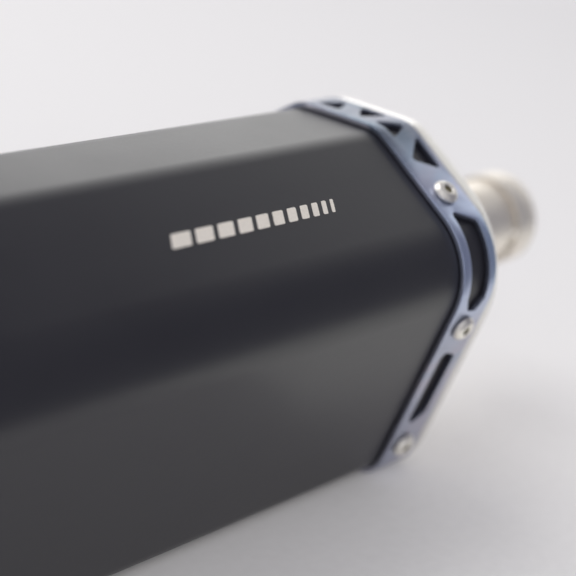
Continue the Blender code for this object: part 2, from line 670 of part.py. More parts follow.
boolean(packing, pocket)

head = HANGER_T - near + GAP      # bracket's outer face stands this far above the ring face
hb = turned("hanger_bolt_tmp", [
    (0.0, head + 3.2 * MM), (3.4 * MM, head + 3.2 * MM), (5.2 * MM, head + 1.2 * MM), (5.2 * MM, head), (3.0 * MM, head),
    (3.0 * MM, -8.4 * MM), (0.0, -8.4 * MM)], "screw_steel", 12, False, "Z")
hb_cut = rod("hanger_bolt_socket", 2.3 * MM, 3.6 * MM, Matrix.Translation((0, 0, head + 3.2 * MM)), 6)
boolean(hb, hb_cut)
bpy.context.view_layer.update()
hb_mesh = bpy.data.meshes.new_from_object(hb.evaluated_get(bpy.context.evaluated_depsgraph_get()))
bpy.data.objects.remove(hb, do_unlink=True)
bpy.data.objects.remove(hb_cut, do_unlink=True)
for k, m in enumerate(bolt_places):
    b = bpy.data.objects.new(f"hanger_bolt_{k + 1}", hb_mesh)
    b.matrix_world = m
    place(b, "screw_steel")

half_groove = HANGER_T / 2 + GAP
bush = turned_mesh("hanger_bush", [
    (12.5 * MM, -6.0 * MM), (12.5 * MM, -half_groove), (9.0 * MM, -half_groove), (9.0 * MM, half_groove),
    (12.5 * MM, half_groove), (12.5 * MM, 6.0 * MM), (5.3 * MM, 6.0 * MM), (5.3 * MM, -6.0 * MM)],
    "black_rubber", 24, True, "Z")
bush.matrix_world = eye
spacer = turned_mesh("hanger_spacer", [(5.0 * MM, -7.0 * MM), (5.0 * MM, 7.0 * MM), (3.3 * MM, 7.0 * MM), (3.3 * MM, -7.0 * MM)],
                     "screw_steel", 24, True, "Z")
spacer.matrix_world = eye

for obj in parts.objects:
    if obj.type == "MESH" and obj.name in ("inlet_pipe", "core_tube", "outlet_tube", "db_killer_insert", "clamp_band"):
        obj.data.shade_smooth()
        obj.data.set_sharp_from_angle(angle=math.radians(35))

# ---------------------------------------------------------------- frame and moving groups
pipe_axis = bpy.data.objects.new("pipe_axis", None)
pipe_axis.location = (-(RING_INNER + RING_WIDTH / 2), 0.0, -BODY_BOTTOM)
parts.objects.link(pipe_axis)
clamp_axis = bpy.data.objects.new("clamp_axis", None)
clamp_axis.location = (BOLT_AT[0], 0.0, 0.0)
clamp_axis.parent = pipe_axis
parts.objects.link(clamp_axis)
for obj in list(parts.objects) + list(cutters.objects):
    if obj.type != "MESH":
        continue
    if obj.name.startswith("clamp_"):
        obj.parent = clamp_axis
        obj.matrix_parent_inverse = Matrix.Translation(-clamp_axis.location)
    else:
        obj.parent = pipe_axis
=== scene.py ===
import json
import math

import bmesh
import bpy
from mathutils import Matrix, Vector
from mathutils.geometry import delaunay_2d_cdt
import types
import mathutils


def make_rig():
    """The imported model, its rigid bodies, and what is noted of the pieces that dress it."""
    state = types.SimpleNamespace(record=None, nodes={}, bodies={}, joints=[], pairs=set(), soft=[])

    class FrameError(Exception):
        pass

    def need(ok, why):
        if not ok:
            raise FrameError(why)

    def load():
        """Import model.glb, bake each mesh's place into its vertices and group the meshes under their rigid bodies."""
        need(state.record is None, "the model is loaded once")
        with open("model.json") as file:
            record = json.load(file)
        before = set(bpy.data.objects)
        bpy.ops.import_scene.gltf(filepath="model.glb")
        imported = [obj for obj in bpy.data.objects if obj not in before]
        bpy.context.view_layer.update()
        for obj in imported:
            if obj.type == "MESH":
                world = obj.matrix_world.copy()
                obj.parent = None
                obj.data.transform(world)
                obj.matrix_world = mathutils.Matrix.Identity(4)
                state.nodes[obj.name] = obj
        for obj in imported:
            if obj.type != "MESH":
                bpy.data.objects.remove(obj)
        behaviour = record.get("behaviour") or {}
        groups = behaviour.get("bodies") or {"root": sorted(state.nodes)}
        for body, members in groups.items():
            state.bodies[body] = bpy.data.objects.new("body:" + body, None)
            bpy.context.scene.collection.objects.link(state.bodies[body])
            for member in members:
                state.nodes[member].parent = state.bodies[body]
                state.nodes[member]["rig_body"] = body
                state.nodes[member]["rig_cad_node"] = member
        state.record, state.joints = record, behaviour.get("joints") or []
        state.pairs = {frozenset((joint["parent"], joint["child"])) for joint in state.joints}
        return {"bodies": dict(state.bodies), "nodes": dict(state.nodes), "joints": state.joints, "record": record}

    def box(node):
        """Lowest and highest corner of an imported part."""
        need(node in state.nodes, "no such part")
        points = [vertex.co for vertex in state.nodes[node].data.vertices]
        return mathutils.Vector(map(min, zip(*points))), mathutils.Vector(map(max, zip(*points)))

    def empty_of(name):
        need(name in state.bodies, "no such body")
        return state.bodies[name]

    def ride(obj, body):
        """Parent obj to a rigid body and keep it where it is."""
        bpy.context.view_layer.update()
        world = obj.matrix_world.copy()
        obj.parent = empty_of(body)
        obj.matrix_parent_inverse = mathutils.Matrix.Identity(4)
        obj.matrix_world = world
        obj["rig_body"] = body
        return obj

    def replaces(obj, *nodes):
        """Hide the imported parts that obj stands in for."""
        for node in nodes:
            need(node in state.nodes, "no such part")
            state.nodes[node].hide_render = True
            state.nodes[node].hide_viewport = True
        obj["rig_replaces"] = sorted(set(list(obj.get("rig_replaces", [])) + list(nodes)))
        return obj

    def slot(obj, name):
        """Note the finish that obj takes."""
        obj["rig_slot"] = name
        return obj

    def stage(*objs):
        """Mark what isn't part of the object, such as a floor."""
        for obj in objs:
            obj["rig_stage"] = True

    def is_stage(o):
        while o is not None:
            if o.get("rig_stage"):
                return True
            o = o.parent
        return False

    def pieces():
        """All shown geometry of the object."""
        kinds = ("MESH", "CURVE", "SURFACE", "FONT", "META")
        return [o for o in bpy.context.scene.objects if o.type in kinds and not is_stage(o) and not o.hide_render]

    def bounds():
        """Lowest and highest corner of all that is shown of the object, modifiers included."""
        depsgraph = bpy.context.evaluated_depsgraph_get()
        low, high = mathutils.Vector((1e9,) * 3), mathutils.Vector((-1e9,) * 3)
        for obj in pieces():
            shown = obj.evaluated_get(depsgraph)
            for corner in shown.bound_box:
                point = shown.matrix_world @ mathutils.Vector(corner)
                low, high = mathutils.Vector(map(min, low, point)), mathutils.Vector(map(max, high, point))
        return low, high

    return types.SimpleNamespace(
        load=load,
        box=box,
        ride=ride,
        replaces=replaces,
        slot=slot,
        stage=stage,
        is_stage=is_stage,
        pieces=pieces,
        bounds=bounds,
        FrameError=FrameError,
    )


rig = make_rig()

for old in list(bpy.data.objects):
    bpy.data.objects.remove(old, do_unlink=True)
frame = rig.load()
cad_lo, cad_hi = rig.bounds()
MM = 0.001

# ------------------------------------------------------------------ section
# Same section as the frame, in mm about the pipe axis at the middle of the sleeve.
ring_lo, ring_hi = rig.box("inlet_ring")
SHIFT = Vector((-(125.0 + 14.9 / 2), 0.0, 57.9))     # from pipe-axis mm to row mm
TOP_HALF, SIDE_HALF, SIDE_Z, BODY_TOP, BODY_BOTTOM = 15.0, 57.4, 19.5, 46.7, -57.9
LEAN = math.radians(17.8)
CORNER_R = (12.5, 22.2, 9.0)
CAP_CORNER_R = (14.0, 32.0, 12.0)
SCREW_S = (41.0, 84.0, 129.5)
RING_X0, RING_X1 = 125.0, 139.9
SCREW_X = 131.6
CAP_X0, CAP_X1 = 140.2, 147.2
RING_THICK, SLEEVE_OUT, SLEEVE_IN, SKIRT_OUT, SKIRT_IN = 1.5, 1.8, 3.0, 3.3, 6.3     # depths below the ring face


def section_pieces(radii):
    foot = SIDE_HALF - (SIDE_Z - BODY_BOTTOM) * math.tan(LEAN)
    stops = [(0.0, BODY_TOP), (TOP_HALF, BODY_TOP), (SIDE_HALF, SIDE_Z), (foot, BODY_BOTTOM), (0.0, BODY_BOTTOM)]
    heading = [math.atan2(b[1] - a[1], b[0] - a[0]) for a, b in zip(stops, stops[1:])]
    heading[-1] = -math.pi
    out, s, start = [], 0.0, Vector(stops[0])
    for i in range(4):
        d = Vector((math.cos(heading[i]), math.sin(heading[i])))
        end = Vector(stops[i + 1])
        trim = 0.0
        if i < 3:
            turn = heading[i] - heading[i + 1]
            trim = radii[i] * math.tan(turn / 2)
        length = (end - start).length - trim
        out.append(("line", s, s + length, start.copy(), d))
        s += length
        if i < 3:
            normal = Vector((-d.y, d.x))
            centre = start + d * length - normal * radii[i]
            a0 = heading[i] + math.pi / 2
            out.append(("arc", s, s + radii[i] * turn, centre, radii[i], a0, a0 - turn))
            s += radii[i] * turn
            start = end + Vector((math.cos(heading[i + 1]), math.sin(heading[i + 1]))) * trim
    return out, s


PIECES, GIRTH = section_pieces(CORNER_R)
CAP_PIECES, _ = section_pieces(CAP_CORNER_R)


def section_at(s, depth=0.0, cap=False):
    side = -1.0 if s > 0 else 1.0
    a = min(abs(s), GIRTH)
    for i, p in enumerate(PIECES):
        if a <= p[2] + 1e-9:
            break
    if cap:      # the end plate's own corners, piece for piece
        share = (a - p[1]) / (p[2] - p[1])
        p = CAP_PIECES[i]
        a = p[1] + share * (p[2] - p[1])
    if p[0] == "line":
        n = Vector((-p[4].y, p[4].x))
        q = p[3] + p[4] * (a - p[1]) - n * depth
    else:
        t = p[5] + (p[6] - p[5]) * (a - p[1]) / (p[2] - p[1])
        n = Vector((math.cos(t), math.sin(t)))
        q = p[3] + n * (p[4] - depth)
    return Vector((side * q.x, q.y)), Vector((side * n.x, n.y))


def row_point(x, y, z):
    """Pipe-axis millimetres to row metres."""
    return (Vector((x, y, z)) + SHIFT) * MM


def wrap(s, x, depth):
    p, _ = section_at(s, depth)
    return row_point(x, p.x, p.y)


def stations(step_arc=1.0, step_line=12.0):
    """Distances round the half section, fine in the corners."""
    out = []
    for p in PIECES:
        step = step_arc if p[0] == "arc" else step_line
        n = max(1, int(math.ceil((p[2] - p[1]) / step)))
        out += [p[1] + (p[2] - p[1]) * k / n for k in range(n)]
    out.append(GIRTH)
    return out


HALF = stations()
LOOP = [-s for s in HALF] + [s for s in reversed(HALF[1:-1])]   # round the whole body, starting at top centre


# ------------------------------------------------------------------ mesh helpers
def new_object(name, bm, mat, sharp=35.0, body="root", stands_for=(), slot=None):
    bmesh.ops.recalc_face_normals(bm, faces=bm.faces)
    mesh = bpy.data.meshes.new(name)
    bm.to_mesh(mesh)
    bm.free()
    mesh.shade_smooth()
    mesh.set_sharp_from_angle(angle=math.radians(sharp))
    obj = bpy.data.objects.new(name, mesh)
    bpy.context.scene.collection.objects.link(obj)
    for m in (mat if isinstance(mat, (list, tuple)) else [mat]):
        mesh.materials.append(m)
    finish_piece(obj, body, stands_for, slot)
    return obj


def finish_piece(obj, body, stands_for=(), slot=None):
    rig.ride(obj, body)
    if stands_for:
        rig.replaces(obj, *stands_for)
    if slot:
        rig.slot(obj, slot)


def apply_modifiers(obj, sharp=35.0):
    bpy.context.view_layer.update()
    dg = bpy.context.evaluated_depsgraph_get()
    mesh = bpy.data.meshes.new_from_object(obj.evaluated_get(dg))
    obj.modifiers.clear()
    obj.data = mesh
    mesh.shade_smooth()
    mesh.set_sharp_from_angle(angle=math.radians(sharp))


def swept(name, profile, mat, closed=True, flip=False, **kw):
    """Profile (x, depth) carried round the body section."""
    bm = bmesh.new()
    loops = []
    for x, depth in profile:
        loops.append([bm.verts.new(wrap(s, -x if flip else x, depth)) for s in LOOP])
    pairs = list(zip(loops, loops[1:])) + ([(loops[-1], loops[0])] if closed else [])
    n = len(LOOP)
    for a, b in pairs:
        for i in range(n):
            j = (i + 1) % n
            bm.faces.new((a[i], a[j], b[j], b[i]))
    return new_object(name, bm, mat, **kw)


def arc_points(cx, cy, r, a0, a1, n):
    return [(cx + r * math.cos(math.radians(a0 + (a1 - a0) * k / n)),
             cy + r * math.sin(math.radians(a0 + (a1 - a0) * k / n))) for k in range(n + 1)]


def lathe_bm(profile, steps=96, closed=True, origin=(0, 0, 0), axis="X"):
    """Profile (along, radius) in mm turned about an axis through origin (pipe-axis mm)."""
    bm = bmesh.new()
    loops = []
    for a, r in profile:
        if r < 1e-6:
            p = {"X": (a, 0, 0), "Y": (0, a, 0), "Z": (0, 0, a)}[axis]
            loops.append([bm.verts.new(row_point(*(Vector(origin) + Vector(p))))])
            continue
        ring = []
        for k in range(steps):
            c, s = r * math.cos(2 * math.pi * k / steps), r * math.sin(2 * math.pi * k / steps)
            p = {"X": (a, c, s), "Y": (c, a, s), "Z": (c, s, a)}[axis]
            ring.append(bm.verts.new(row_point(*(Vector(origin) + Vector(p)))))
        loops.append(ring)
    pairs = list(zip(loops, loops[1:])) + ([(loops[-1], loops[0])] if closed else [])
    for a, b in pairs:
        if len(a) == 1 and len(b) == 1:
            continue
        for k in range(steps):
            j = (k + 1) % steps
            if len(a) == 1:
                bm.faces.new((a[0], b[j], b[k]))
            elif len(b) == 1:
                bm.faces.new((a[k], a[j], b[0]))
            else:
                bm.faces.new((a[k], a[j], b[j], b[k]))
    return bm


def lathe(name, profile, mat, **kw):
    shape = {k: kw.pop(k) for k in ("steps", "closed", "origin", "axis") if k in kw}
    return new_object(name, lathe_bm(profile, **shape), mat, **kw)


# ------------------------------------------------------------------ materials
class Nodes:
    """Small helper that writes a material's node tree."""

    def __init__(self, name):
        self.mat = bpy.data.materials.new(name)
        self.mat.use_nodes = True
        self.t = self.mat.node_tree
        self.bsdf = self.t.nodes["Principled BSDF"]
        self.coord = self.t.nodes.new("ShaderNodeTexCoord").outputs["Object"]

    def node(self, kind, **values):
        n = self.t.nodes.new(kind)
        for k, v in values.items():
            if hasattr(n, k) and not isinstance(v, bpy.types.NodeSocket):
                setattr(n, k, v)
            else:
                self.put(n.inputs[k.replace("_", " ")], v)
        return n

    def put(self, socket, value):
        if isinstance(value, bpy.types.NodeSocket):
            self.t.links.new(value, socket)
        else:
            socket.default_value = value

    def noise(self, scale, detail=3.0, rough=0.5, stretch=(1, 1, 1), offset=(0, 0, 0), distortion=0.0):
        m = self.t.nodes.new("ShaderNodeMapping")
        self.put(m.inputs["Vector"], self.coord)
        m.inputs["Scale"].default_value = stretch
        m.inputs["Location"].default_value = offset
        n = self.t.nodes.new("ShaderNodeTexNoise")
        self.put(n.inputs["Vector"], m.outputs["Vector"])
        n.inputs["Scale"].default_value = scale
        n.inputs["Detail"].default_value = detail
        n.inputs["Roughness"].default_value = rough
        n.inputs["Distortion"].default_value = distortion
        return n.outputs["Fac"]

    def ramp(self, fac, stops, interpolation="LINEAR"):
        r = self.t.nodes.new("ShaderNodeValToRGB")
        r.color_ramp.interpolation = interpolation
        while len(r.color_ramp.elements) < len(stops):
            r.color_ramp.elements.new(0.5)
        for e, (pos, col) in zip(r.color_ramp.elements, stops):
            e.position = pos
            e.color = (*col, 1.0) if len(col) == 3 else col
        self.put(r.inputs["Fac"], fac)
        return r.outputs["Color"]

    def range(self, value, lo, hi, out_lo, out_hi):
        r = self.t.nodes.new("ShaderNodeMapRange")
        self.put(r.inputs["Value"], value)
        for k, v in (("From Min", lo), ("From Max", hi), ("To Min", out_lo), ("To Max", out_hi)):
            r.inputs[k].default_value = v
        return r.outputs["Result"]

    def math(self, op, a, b=0.0, clamp=False):
        m = self.t.nodes.new("ShaderNodeMath")
        m.operation = op
        m.use_clamp = clamp
        self.put(m.inputs[0], a)
        self.put(m.inputs[1], b)
        return m.outputs[0]

    def mix(self, fac, a, b, blend="MIX"):
        m = self.t.nodes.new("ShaderNodeMix")
        m.data_type = "RGBA"
        m.blend_type = blend
        self.put(m.inputs[0], fac)
        for socket, v in ((m.inputs[6], a), (m.inputs[7], b)):
            if isinstance(v, tuple) and len(v) == 3:
                v = (*v, 1.0)
            self.put(socket, v)
        return m.outputs[2]

    def bump(self, height, strength, distance=0.0005, normal=None):
        b = self.t.nodes.new("ShaderNodeBump")
        self.put(b.inputs["Height"], height)
        b.inputs["Strength"].default_value = strength
        b.inputs["Distance"].default_value = distance
        if normal is not None:
            self.put(b.inputs["Normal"], normal)
        return b.outputs["Normal"]

    def edge(self, radius=0.0006):
        """0 on flats, towards 1 on outward edges, from geometry pointiness."""
        g = self.t.nodes.new("ShaderNodeNewGeometry")
        return g.outputs["Pointiness"]

    def axis(self, i):
        s = self.t.nodes.new("ShaderNodeSeparateXYZ")
        self.put(s.inputs[0], self.coord)
        return s.outputs[i]

    def done(self, **inputs):
        for k, v in inputs.items():
            key = k.replace("_", " ")
            if isinstance(v, tuple) and len(v) == 3:
                v = (*v, 1.0)
            self.put(self.bsdf.inputs[key], v)
        return self.mat


def black_coat():
    m = Nodes("sleeve_matte_black")
    grain = m.noise(2600, 2, 0.6)
    cloud = m.noise(22, 4, 0.55)
    haze = m.noise(7, 2, 0.5, stretch=(0.35, 1, 1))
    colour = m.ramp(cloud, [(0.25, (0.0080, 0.0076, 0.0115)), (0.75, (0.0100, 0.0096, 0.0138))])
    speck = m.ramp(grain, [(0.60, (0, 0, 0)), (0.80, (1, 1, 1))])
    colour = m.mix(m.math("MULTIPLY", speck, 0.25), colour, (0.028, 0.028, 0.033))
    rough = m.math("ADD", m.range(cloud, 0.2, 0.8, 0.335, 0.395), m.range(grain, 0.2, 0.8, -0.03, 0.03))
    rough = m.math("ADD", rough, m.range(haze, 0.3, 0.7, -0.02, 0.03))
    fine = m.bump(grain, 0.10, 0.00012)
    peel = m.bump(m.noise(420, 2, 0.5), 0.05, 0.0004, fine)
    return m.done(Base_Color=colour, Roughness=rough, Normal=peel, IOR=1.66)


def blue_metal():
    m = Nodes("ring_blue_titanium")
    warp = m.noise(38, 3, 0.5, distortion=0.7)
    patch = m.noise(30, 2, 0.45, offset=(0.013, 0.021, 0.008), distortion=0.4)
    tint = m.ramp(warp, [(0.28, (0.36, 0.43, 0.58)), (0.46, (0.42, 0.50, 0.65)), (0.60, (0.47, 0.515, 0.65)),
                         (0.74, (0.37, 0.50, 0.66))])
    cyan = m.ramp(patch, [(0.52, (0, 0, 0)), (0.68, (1, 1, 1))])
    tint = m.mix(m.math("MULTIPLY", cyan, 0.75), tint, (0.27, 0.49, 0.66))
    low = m.range(m.axis(2), 0.090, 0.1035, 1.0, 0.28)      # painted shade: the tint darkens over the narrow top facet
    tint = m.mix(1.0, tint, m.mix(low, (0.0, 0.0, 0.0), (1.0, 1.0, 1.0)), "MULTIPLY")
    brush = m.noise(900, 3, 0.6, stretch=(0.12, 1.0, 1.0))
    micro = m.noise(3000, 2, 0.6)
    tint = m.mix(m.range(brush, 0.3, 0.7, 0.0, 0.16), tint, (0.40, 0.42, 0.50))
    edge = m.range(m.edge(), 0.53, 0.60, 0.0, 0.7)
    tint = m.mix(edge, tint, (0.52, 0.53, 0.58))
    rough = m.math("ADD", m.range(brush, 0.25, 0.75, 0.30, 0.42), m.range(warp, 0.3, 0.7, -0.03, 0.04))
    nrm = m.bump(brush, 0.06, 0.0002, m.bump(micro, 0.05, 0.0001))
    foot = m.range(m.axis(2), 0.050, 0.074, 1.0, 0.0)      # painted light and shade: brighter above the shoulder, greyer and darker below it
    tint = m.mix(1.0, tint, m.mix(foot, (1.32, 1.27, 1.27), (0.95, 0.85, 0.80)), "MULTIPLY")
    return m.done(Base_Color=tint, Metallic=1.0, Roughness=rough, Normal=nrm)


def blue_wall_painted_shade():
    """Walls of the ring's cut-outs: the same metal, duller, and darkened with painted shade."""
    m = Nodes("ring_blue_wall_painted_shade")
    n = m.noise(700, 3, 0.6)
    tint = m.ramp(n, [(0.3, (0.10, 0.11, 0.15)), (0.7, (0.15, 0.16, 0.21))])
    return m.done(Base_Color=tint, Metallic=0.9, Roughness=m.range(n, 0.3, 0.7, 0.42, 0.55), Normal=m.bump(n, 0.06, 0.0001))


def steel(name, colour, dark, rough=(0.22, 0.34), scale=1200, stretch=(1, 1, 1), bump=0.05, tint=None):
    m = Nodes(name)
    brush = m.noise(scale, 3, 0.6, stretch=stretch)
    cloud = m.noise(45, 4, 0.5)
    base = m.ramp(brush, [(0.25, dark), (0.75, colour)])
    base = m.mix(m.range(cloud, 0.35, 0.75, 0.0, 0.35), base, tuple(c * 0.86 for c in colour))
    if tint:
        base = m.mix(m.range(m.noise(28, 3, 0.5, offset=(0.1, 0, 0.2)), 0.4, 0.7, 0.0, 0.6), base, tint)
    r = m.math("ADD", m.range(brush, 0.25, 0.75, *rough), m.range(cloud, 0.3, 0.7, -0.03, 0.05))
    nrm = m.bump(brush, bump, 0.0002, m.bump(m.noise(3500, 2, 0.5), 0.03, 0.0001))
    return m.done(Base_Color=base, Metallic=1.0, Roughness=r, Normal=nrm)


def rubber():
    m = Nodes("rubber_black")
    grain = m.noise(1500, 3, 0.6)
    col = m.ramp(m.noise(90, 3), [(0.3, (0.010, 0.010, 0.011)), (0.7, (0.019, 0.019, 0.020))])
    return m.done(Base_Color=col, Roughness=m.range(grain, 0.3, 0.7, 0.62, 0.82), Normal=m.bump(grain, 0.15, 0.0002))


def fibre(name, light, dark, metal=0.0):
    m = Nodes(name)
    a = m.noise(260, 5, 0.7, stretch=(0.15, 1, 1), distortion=1.5)
    col = m.ramp(a, [(0.3, dark), (0.7, light)])
    return m.done(Base_Color=col, Metallic=metal, Roughness=0.9 if not metal else 0.55, Normal=m.bump(a, 0.8, 0.001))


def mark_paint():
    m = Nodes("mark_pale")
    n = m.noise(1800, 3, 0.6)
    col = m.ramp(n, [(0.3, (0.74, 0.69, 0.62)), (0.7, (0.84, 0.79, 0.72))])
    return m.done(Base_Color=col, Metallic=0.35, Roughness=m.range(n, 0.3, 0.7, 0.36, 0.5), Normal=m.bump(n, 0.08, 0.0001))


def paint_socket_shade():
    # painted shade: the socket recess is coloured darker than the screw head
    m = Nodes("socket_painted_shade")
    n = m.noise(900, 3)
    col = m.ramp(n, [(0.3, (0.30, 0.27, 0.19)), (0.7, (0.42, 0.38, 0.28))])
    return m.done(Base_Color=col, Metallic=0.9, Roughness=0.55, Normal=m.bump(n, 0.1, 0.0001))


BLACK, BLUE, BLUE_WALL_PAINTED_SHADE, RUBBER = black_coat(), blue_metal(), blue_wall_painted_shade(), rubber()
RIM = steel("cap_brushed", (0.80, 0.785, 0.76), (0.68, 0.665, 0.64), (0.24, 0.36), 1100, (1.0, 0.25, 0.25))
PIPE = steel("pipe_satin", (0.95, 0.90, 0.82), (0.85, 0.80, 0.73), (0.42, 0.54), 1000, (0.15, 1, 1),
             tint=(0.80, 0.71, 0.59))
SCREW = steel("screw_satin", (0.90, 0.87, 0.81), (0.80, 0.77, 0.71), (0.36, 0.46), 1600)
BAND = steel("band_satin", (0.93, 0.88, 0.80), (0.82, 0.775, 0.71), (0.44, 0.56), 1300, (1, 0.2, 0.2))
BRACKET = steel("bracket_satin", (0.66, 0.64, 0.61), (0.50, 0.48, 0.46), (0.28, 0.40), 900, (1, 1, 0.15))
SOCKET_PAINTED_SHADE, MARK = paint_socket_shade(), mark_paint()
GLASS_WOOL = fibre("glass_wool_fibre", (0.80, 0.72, 0.50), (0.62, 0.54, 0.34))
STEEL_WOOL = fibre("steel_wool_fibre", (0.45, 0.44, 0.43), (0.20, 0.20, 0.20), 0.8)


# ------------------------------------------------------------------ sleeve, seals, caps
d0, d1, e = SLEEVE_OUT, SLEEVE_IN, 139.6
sleeve_profile = [(-e + 0.3 + (2 * e - 0.6) * k / 24, d0) for k in range(25)]
sleeve_profile += [(e, d0 + 0.3), (e, d1 - 0.2), (e - 0.2, d1), (-e + 0.2, d1), (-e, d1 - 0.2), (-e, d0 + 0.3)]
swept("sleeve_shell", sleeve_profile, BLACK, stands_for=("outer_sleeve",), slot="sleeve_black")

for name, sign in (("inlet", False), ("outlet", True)):     # rubber strips packed between the skirts and the sleeve
    prof = [(124.5, SKIRT_OUT)] + [(126.4, SKIRT_OUT), (126.7, SKIRT_OUT + 0.3), (126.7, 5.7), (126.4, 6.0), (124.5, 6.0), (124.2, 5.7),
                                   (124.2, SKIRT_OUT + 0.3)]
    swept(f"{name}_seal_strip", prof, RUBBER, flip=sign, stands_for=(f"{name}_seal",), slot="rubber", sharp=50)


def end_cap(name, bore, flip, cad):
    """Bright cap: skirt inside the sleeve, rounded bevelled rim, sunk field with a pressed bead, collar."""
    bm = bmesh.new()
    x1 = CAP_X1
    sections = []    # each: ("hex" or "cap", x, depth) or ("mix", x, depth, radius, share)
    sections += [("hex", 127.0, SKIRT_IN), ("hex", 127.0, SKIRT_OUT), ("hex", CAP_X0 - 0.5, SKIRT_OUT), ("hex", CAP_X0, SKIRT_OUT - 0.3)]
    sections += [("cap", CAP_X0, 0.5), ("cap", CAP_X0 + 0.12, 0.2), ("cap", CAP_X0 + 0.4, 0.03)]
    for a in range(0, 15):      # rolled edge
        t = math.radians(90 * a / 14)
        sections.append(("cap", CAP_X0 + 0.5 + 6.5 * math.sin(t), 0.05 + 3.55 * (1 - math.cos(t))))
    sections += [("cap", x1, 7.6)]
    for a in range(1, 5):
        t = math.radians(90 * a / 4)
        sections.append(("cap", x1 - 0.7 * (1 - math.cos(t)), 7.6 + 0.7 * math.sin(t)))
    sections += [("cap", x1 - 1.5, 8.6), ("cap", x1 - 1.9, 8.9), ("cap", x1 - 2.0, 9.3)]
    collar = bore + 5.0
    for t in (0.25, 0.5, 0.75):
        sections.append(("mix", x1 - 2.0, 9.3, collar + 1.2, t))
    sections += [("mix", x1 - 2.0, 9.3, collar + 0.7, 1.0), ("mix", x1 - 1.8, 9.3, collar + 0.25, 1.0),
                 ("mix", x1 - 1.3, 9.3, collar, 1.0), ("mix", x1 - 0.5, 9.3, collar - 0.15, 1.0),
                 ("mix", x1 - 0.12, 9.3, collar - 0.5, 1.0), ("mix", x1, 9.3, collar - 0.95, 1.0),
                 ("mix", x1, 9.3, bore + 0.4, 1.0), ("mix", x1 - 0.15, 9.3, bore + 0.08, 1.0),
                 ("mix", x1 - 0.5, 9.3, bore, 1.0), ("mix", CAP_X0 + 1.0, 9.3, bore, 1.0),
                 ("mix", CAP_X0, 9.3, bore, 1.0), ("mix", CAP_X0, 9.3, bore, 0.5), ("hex", CAP_X0, SKIRT_IN)]
    loops = []
    for sec in sections:
        ring = []
        for s in LOOP:
            p, _ = section_at(s, sec[2], sec[0] != "hex")
            q = Vector((p.x, p.y))
            if sec[0] == "mix":
                a = math.atan2(p.y, p.x)
                c = Vector((math.cos(a), math.sin(a))) * sec[3]
                q = q.lerp(c, sec[4])
            x = -sec[1] if flip else sec[1]
            ring.append(bm.verts.new(row_point(x, q.x, q.y)))
        loops.append(ring)
    n = len(LOOP)
    for a, b in zip(loops, loops[1:] + loops[:1]):
        for i in range(n):
            j = (i + 1) % n
            bm.faces.new((a[i], a[j], b[j], b[i]))
    return new_object(name, bm, RIM, stands_for=(cad,), slot="cap_steel", sharp=40)


end_cap("inlet_cap_plate", 18.8, False, "inlet_end_cap")
end_cap("outlet_cap_plate", 21.3, True, "outlet_end_cap")


# ------------------------------------------------------------------ windowed rings
def rounded(points, radius, steps=6):
    out = []
    n = len(points)
    for i in range(n):
        p, a, b = Vector(points[i]), Vector(points[i - 1]), Vector(points[(i + 1) % n])
        u, v = (a - p).normalized(), (b - p).normalized()
        half = math.acos(max(-1.0, min(1.0, u.dot(v)))) / 2
        r = min(radius, 0.45 * min((a - p).length, (b - p).length) * math.tan(half))
        t = r / math.tan(half)
        c = p + (u + v).normalized() * (r / math.sin(half))
        a0 = math.atan2(*reversed(p + u * t - c))
        a1 = math.atan2(*reversed(p + v * t - c))
        d = (a1 - a0 + math.pi) % (2 * math.pi) - math.pi
        out += [(c.x + r * math.cos(a0 + d * k / steps), c.y + r * math.sin(a0 + d * k / steps)) for k in range(steps + 1)]
    return out


# triangles as (base centre, half base, base across, tip, tip across)
TRUSS = ((-29.5, 4.7, 3.9, -29.1, 12.9), (-18.3, 4.7, 12.9, -17.9, 3.9), (-7.0, 4.2, 4.0, -7.2, 12.7),
         (3.3, 5.0, 12.8, 5.2, 4.0), (15.0, 4.6, 3.9, 15.8, 11.9), (26.5, 6.2, 12.9, 27.8, 4.4))
HOLE_R = 2.3


def window_shapes():
    shapes = []
    for c, half, base, tip, tip_x in TRUSS:
        shapes.append(rounded([(c - half, base), (c + half, base), (tip, tip_x)], 0.9))
    side = [(46.6, 3.6), (51.4, 11.7), (74.8, 11.7), (78.6, 9.6), (78.0, 5.7), (73.8, 3.5)]
    low = [(93.0, 4.0), (95.6, 10.9), (118.5, 10.9), (121.5, 4.0)]
    for sign in (1, -1):
        shapes.append(rounded([(sign * s, x) for s, x in side], 1.3))
        shapes.append(rounded([(sign * s, x) for s, x in low], 1.9))
    for sign in (1, -1):
        for s in SCREW_S:
            shapes.append([(sign * s + HOLE_R * math.cos(2 * math.pi * k / 32), SCREW_X - RING_X0 + HOLE_R * math.sin(2 * math.pi * k / 32))
                           for k in range(32)])
    return shapes


def inside(p, poly):
    hit = False
    n = len(poly)
    for i in range(n):
        (x0, y0), (x1, y1) = poly[i], poly[(i + 1) % n]
        if (y0 > p[1]) != (y1 > p[1]) and p[0] < x0 + (x1 - x0) * (p[1] - y0) / (y1 - y0):
            hit = not hit
    return hit


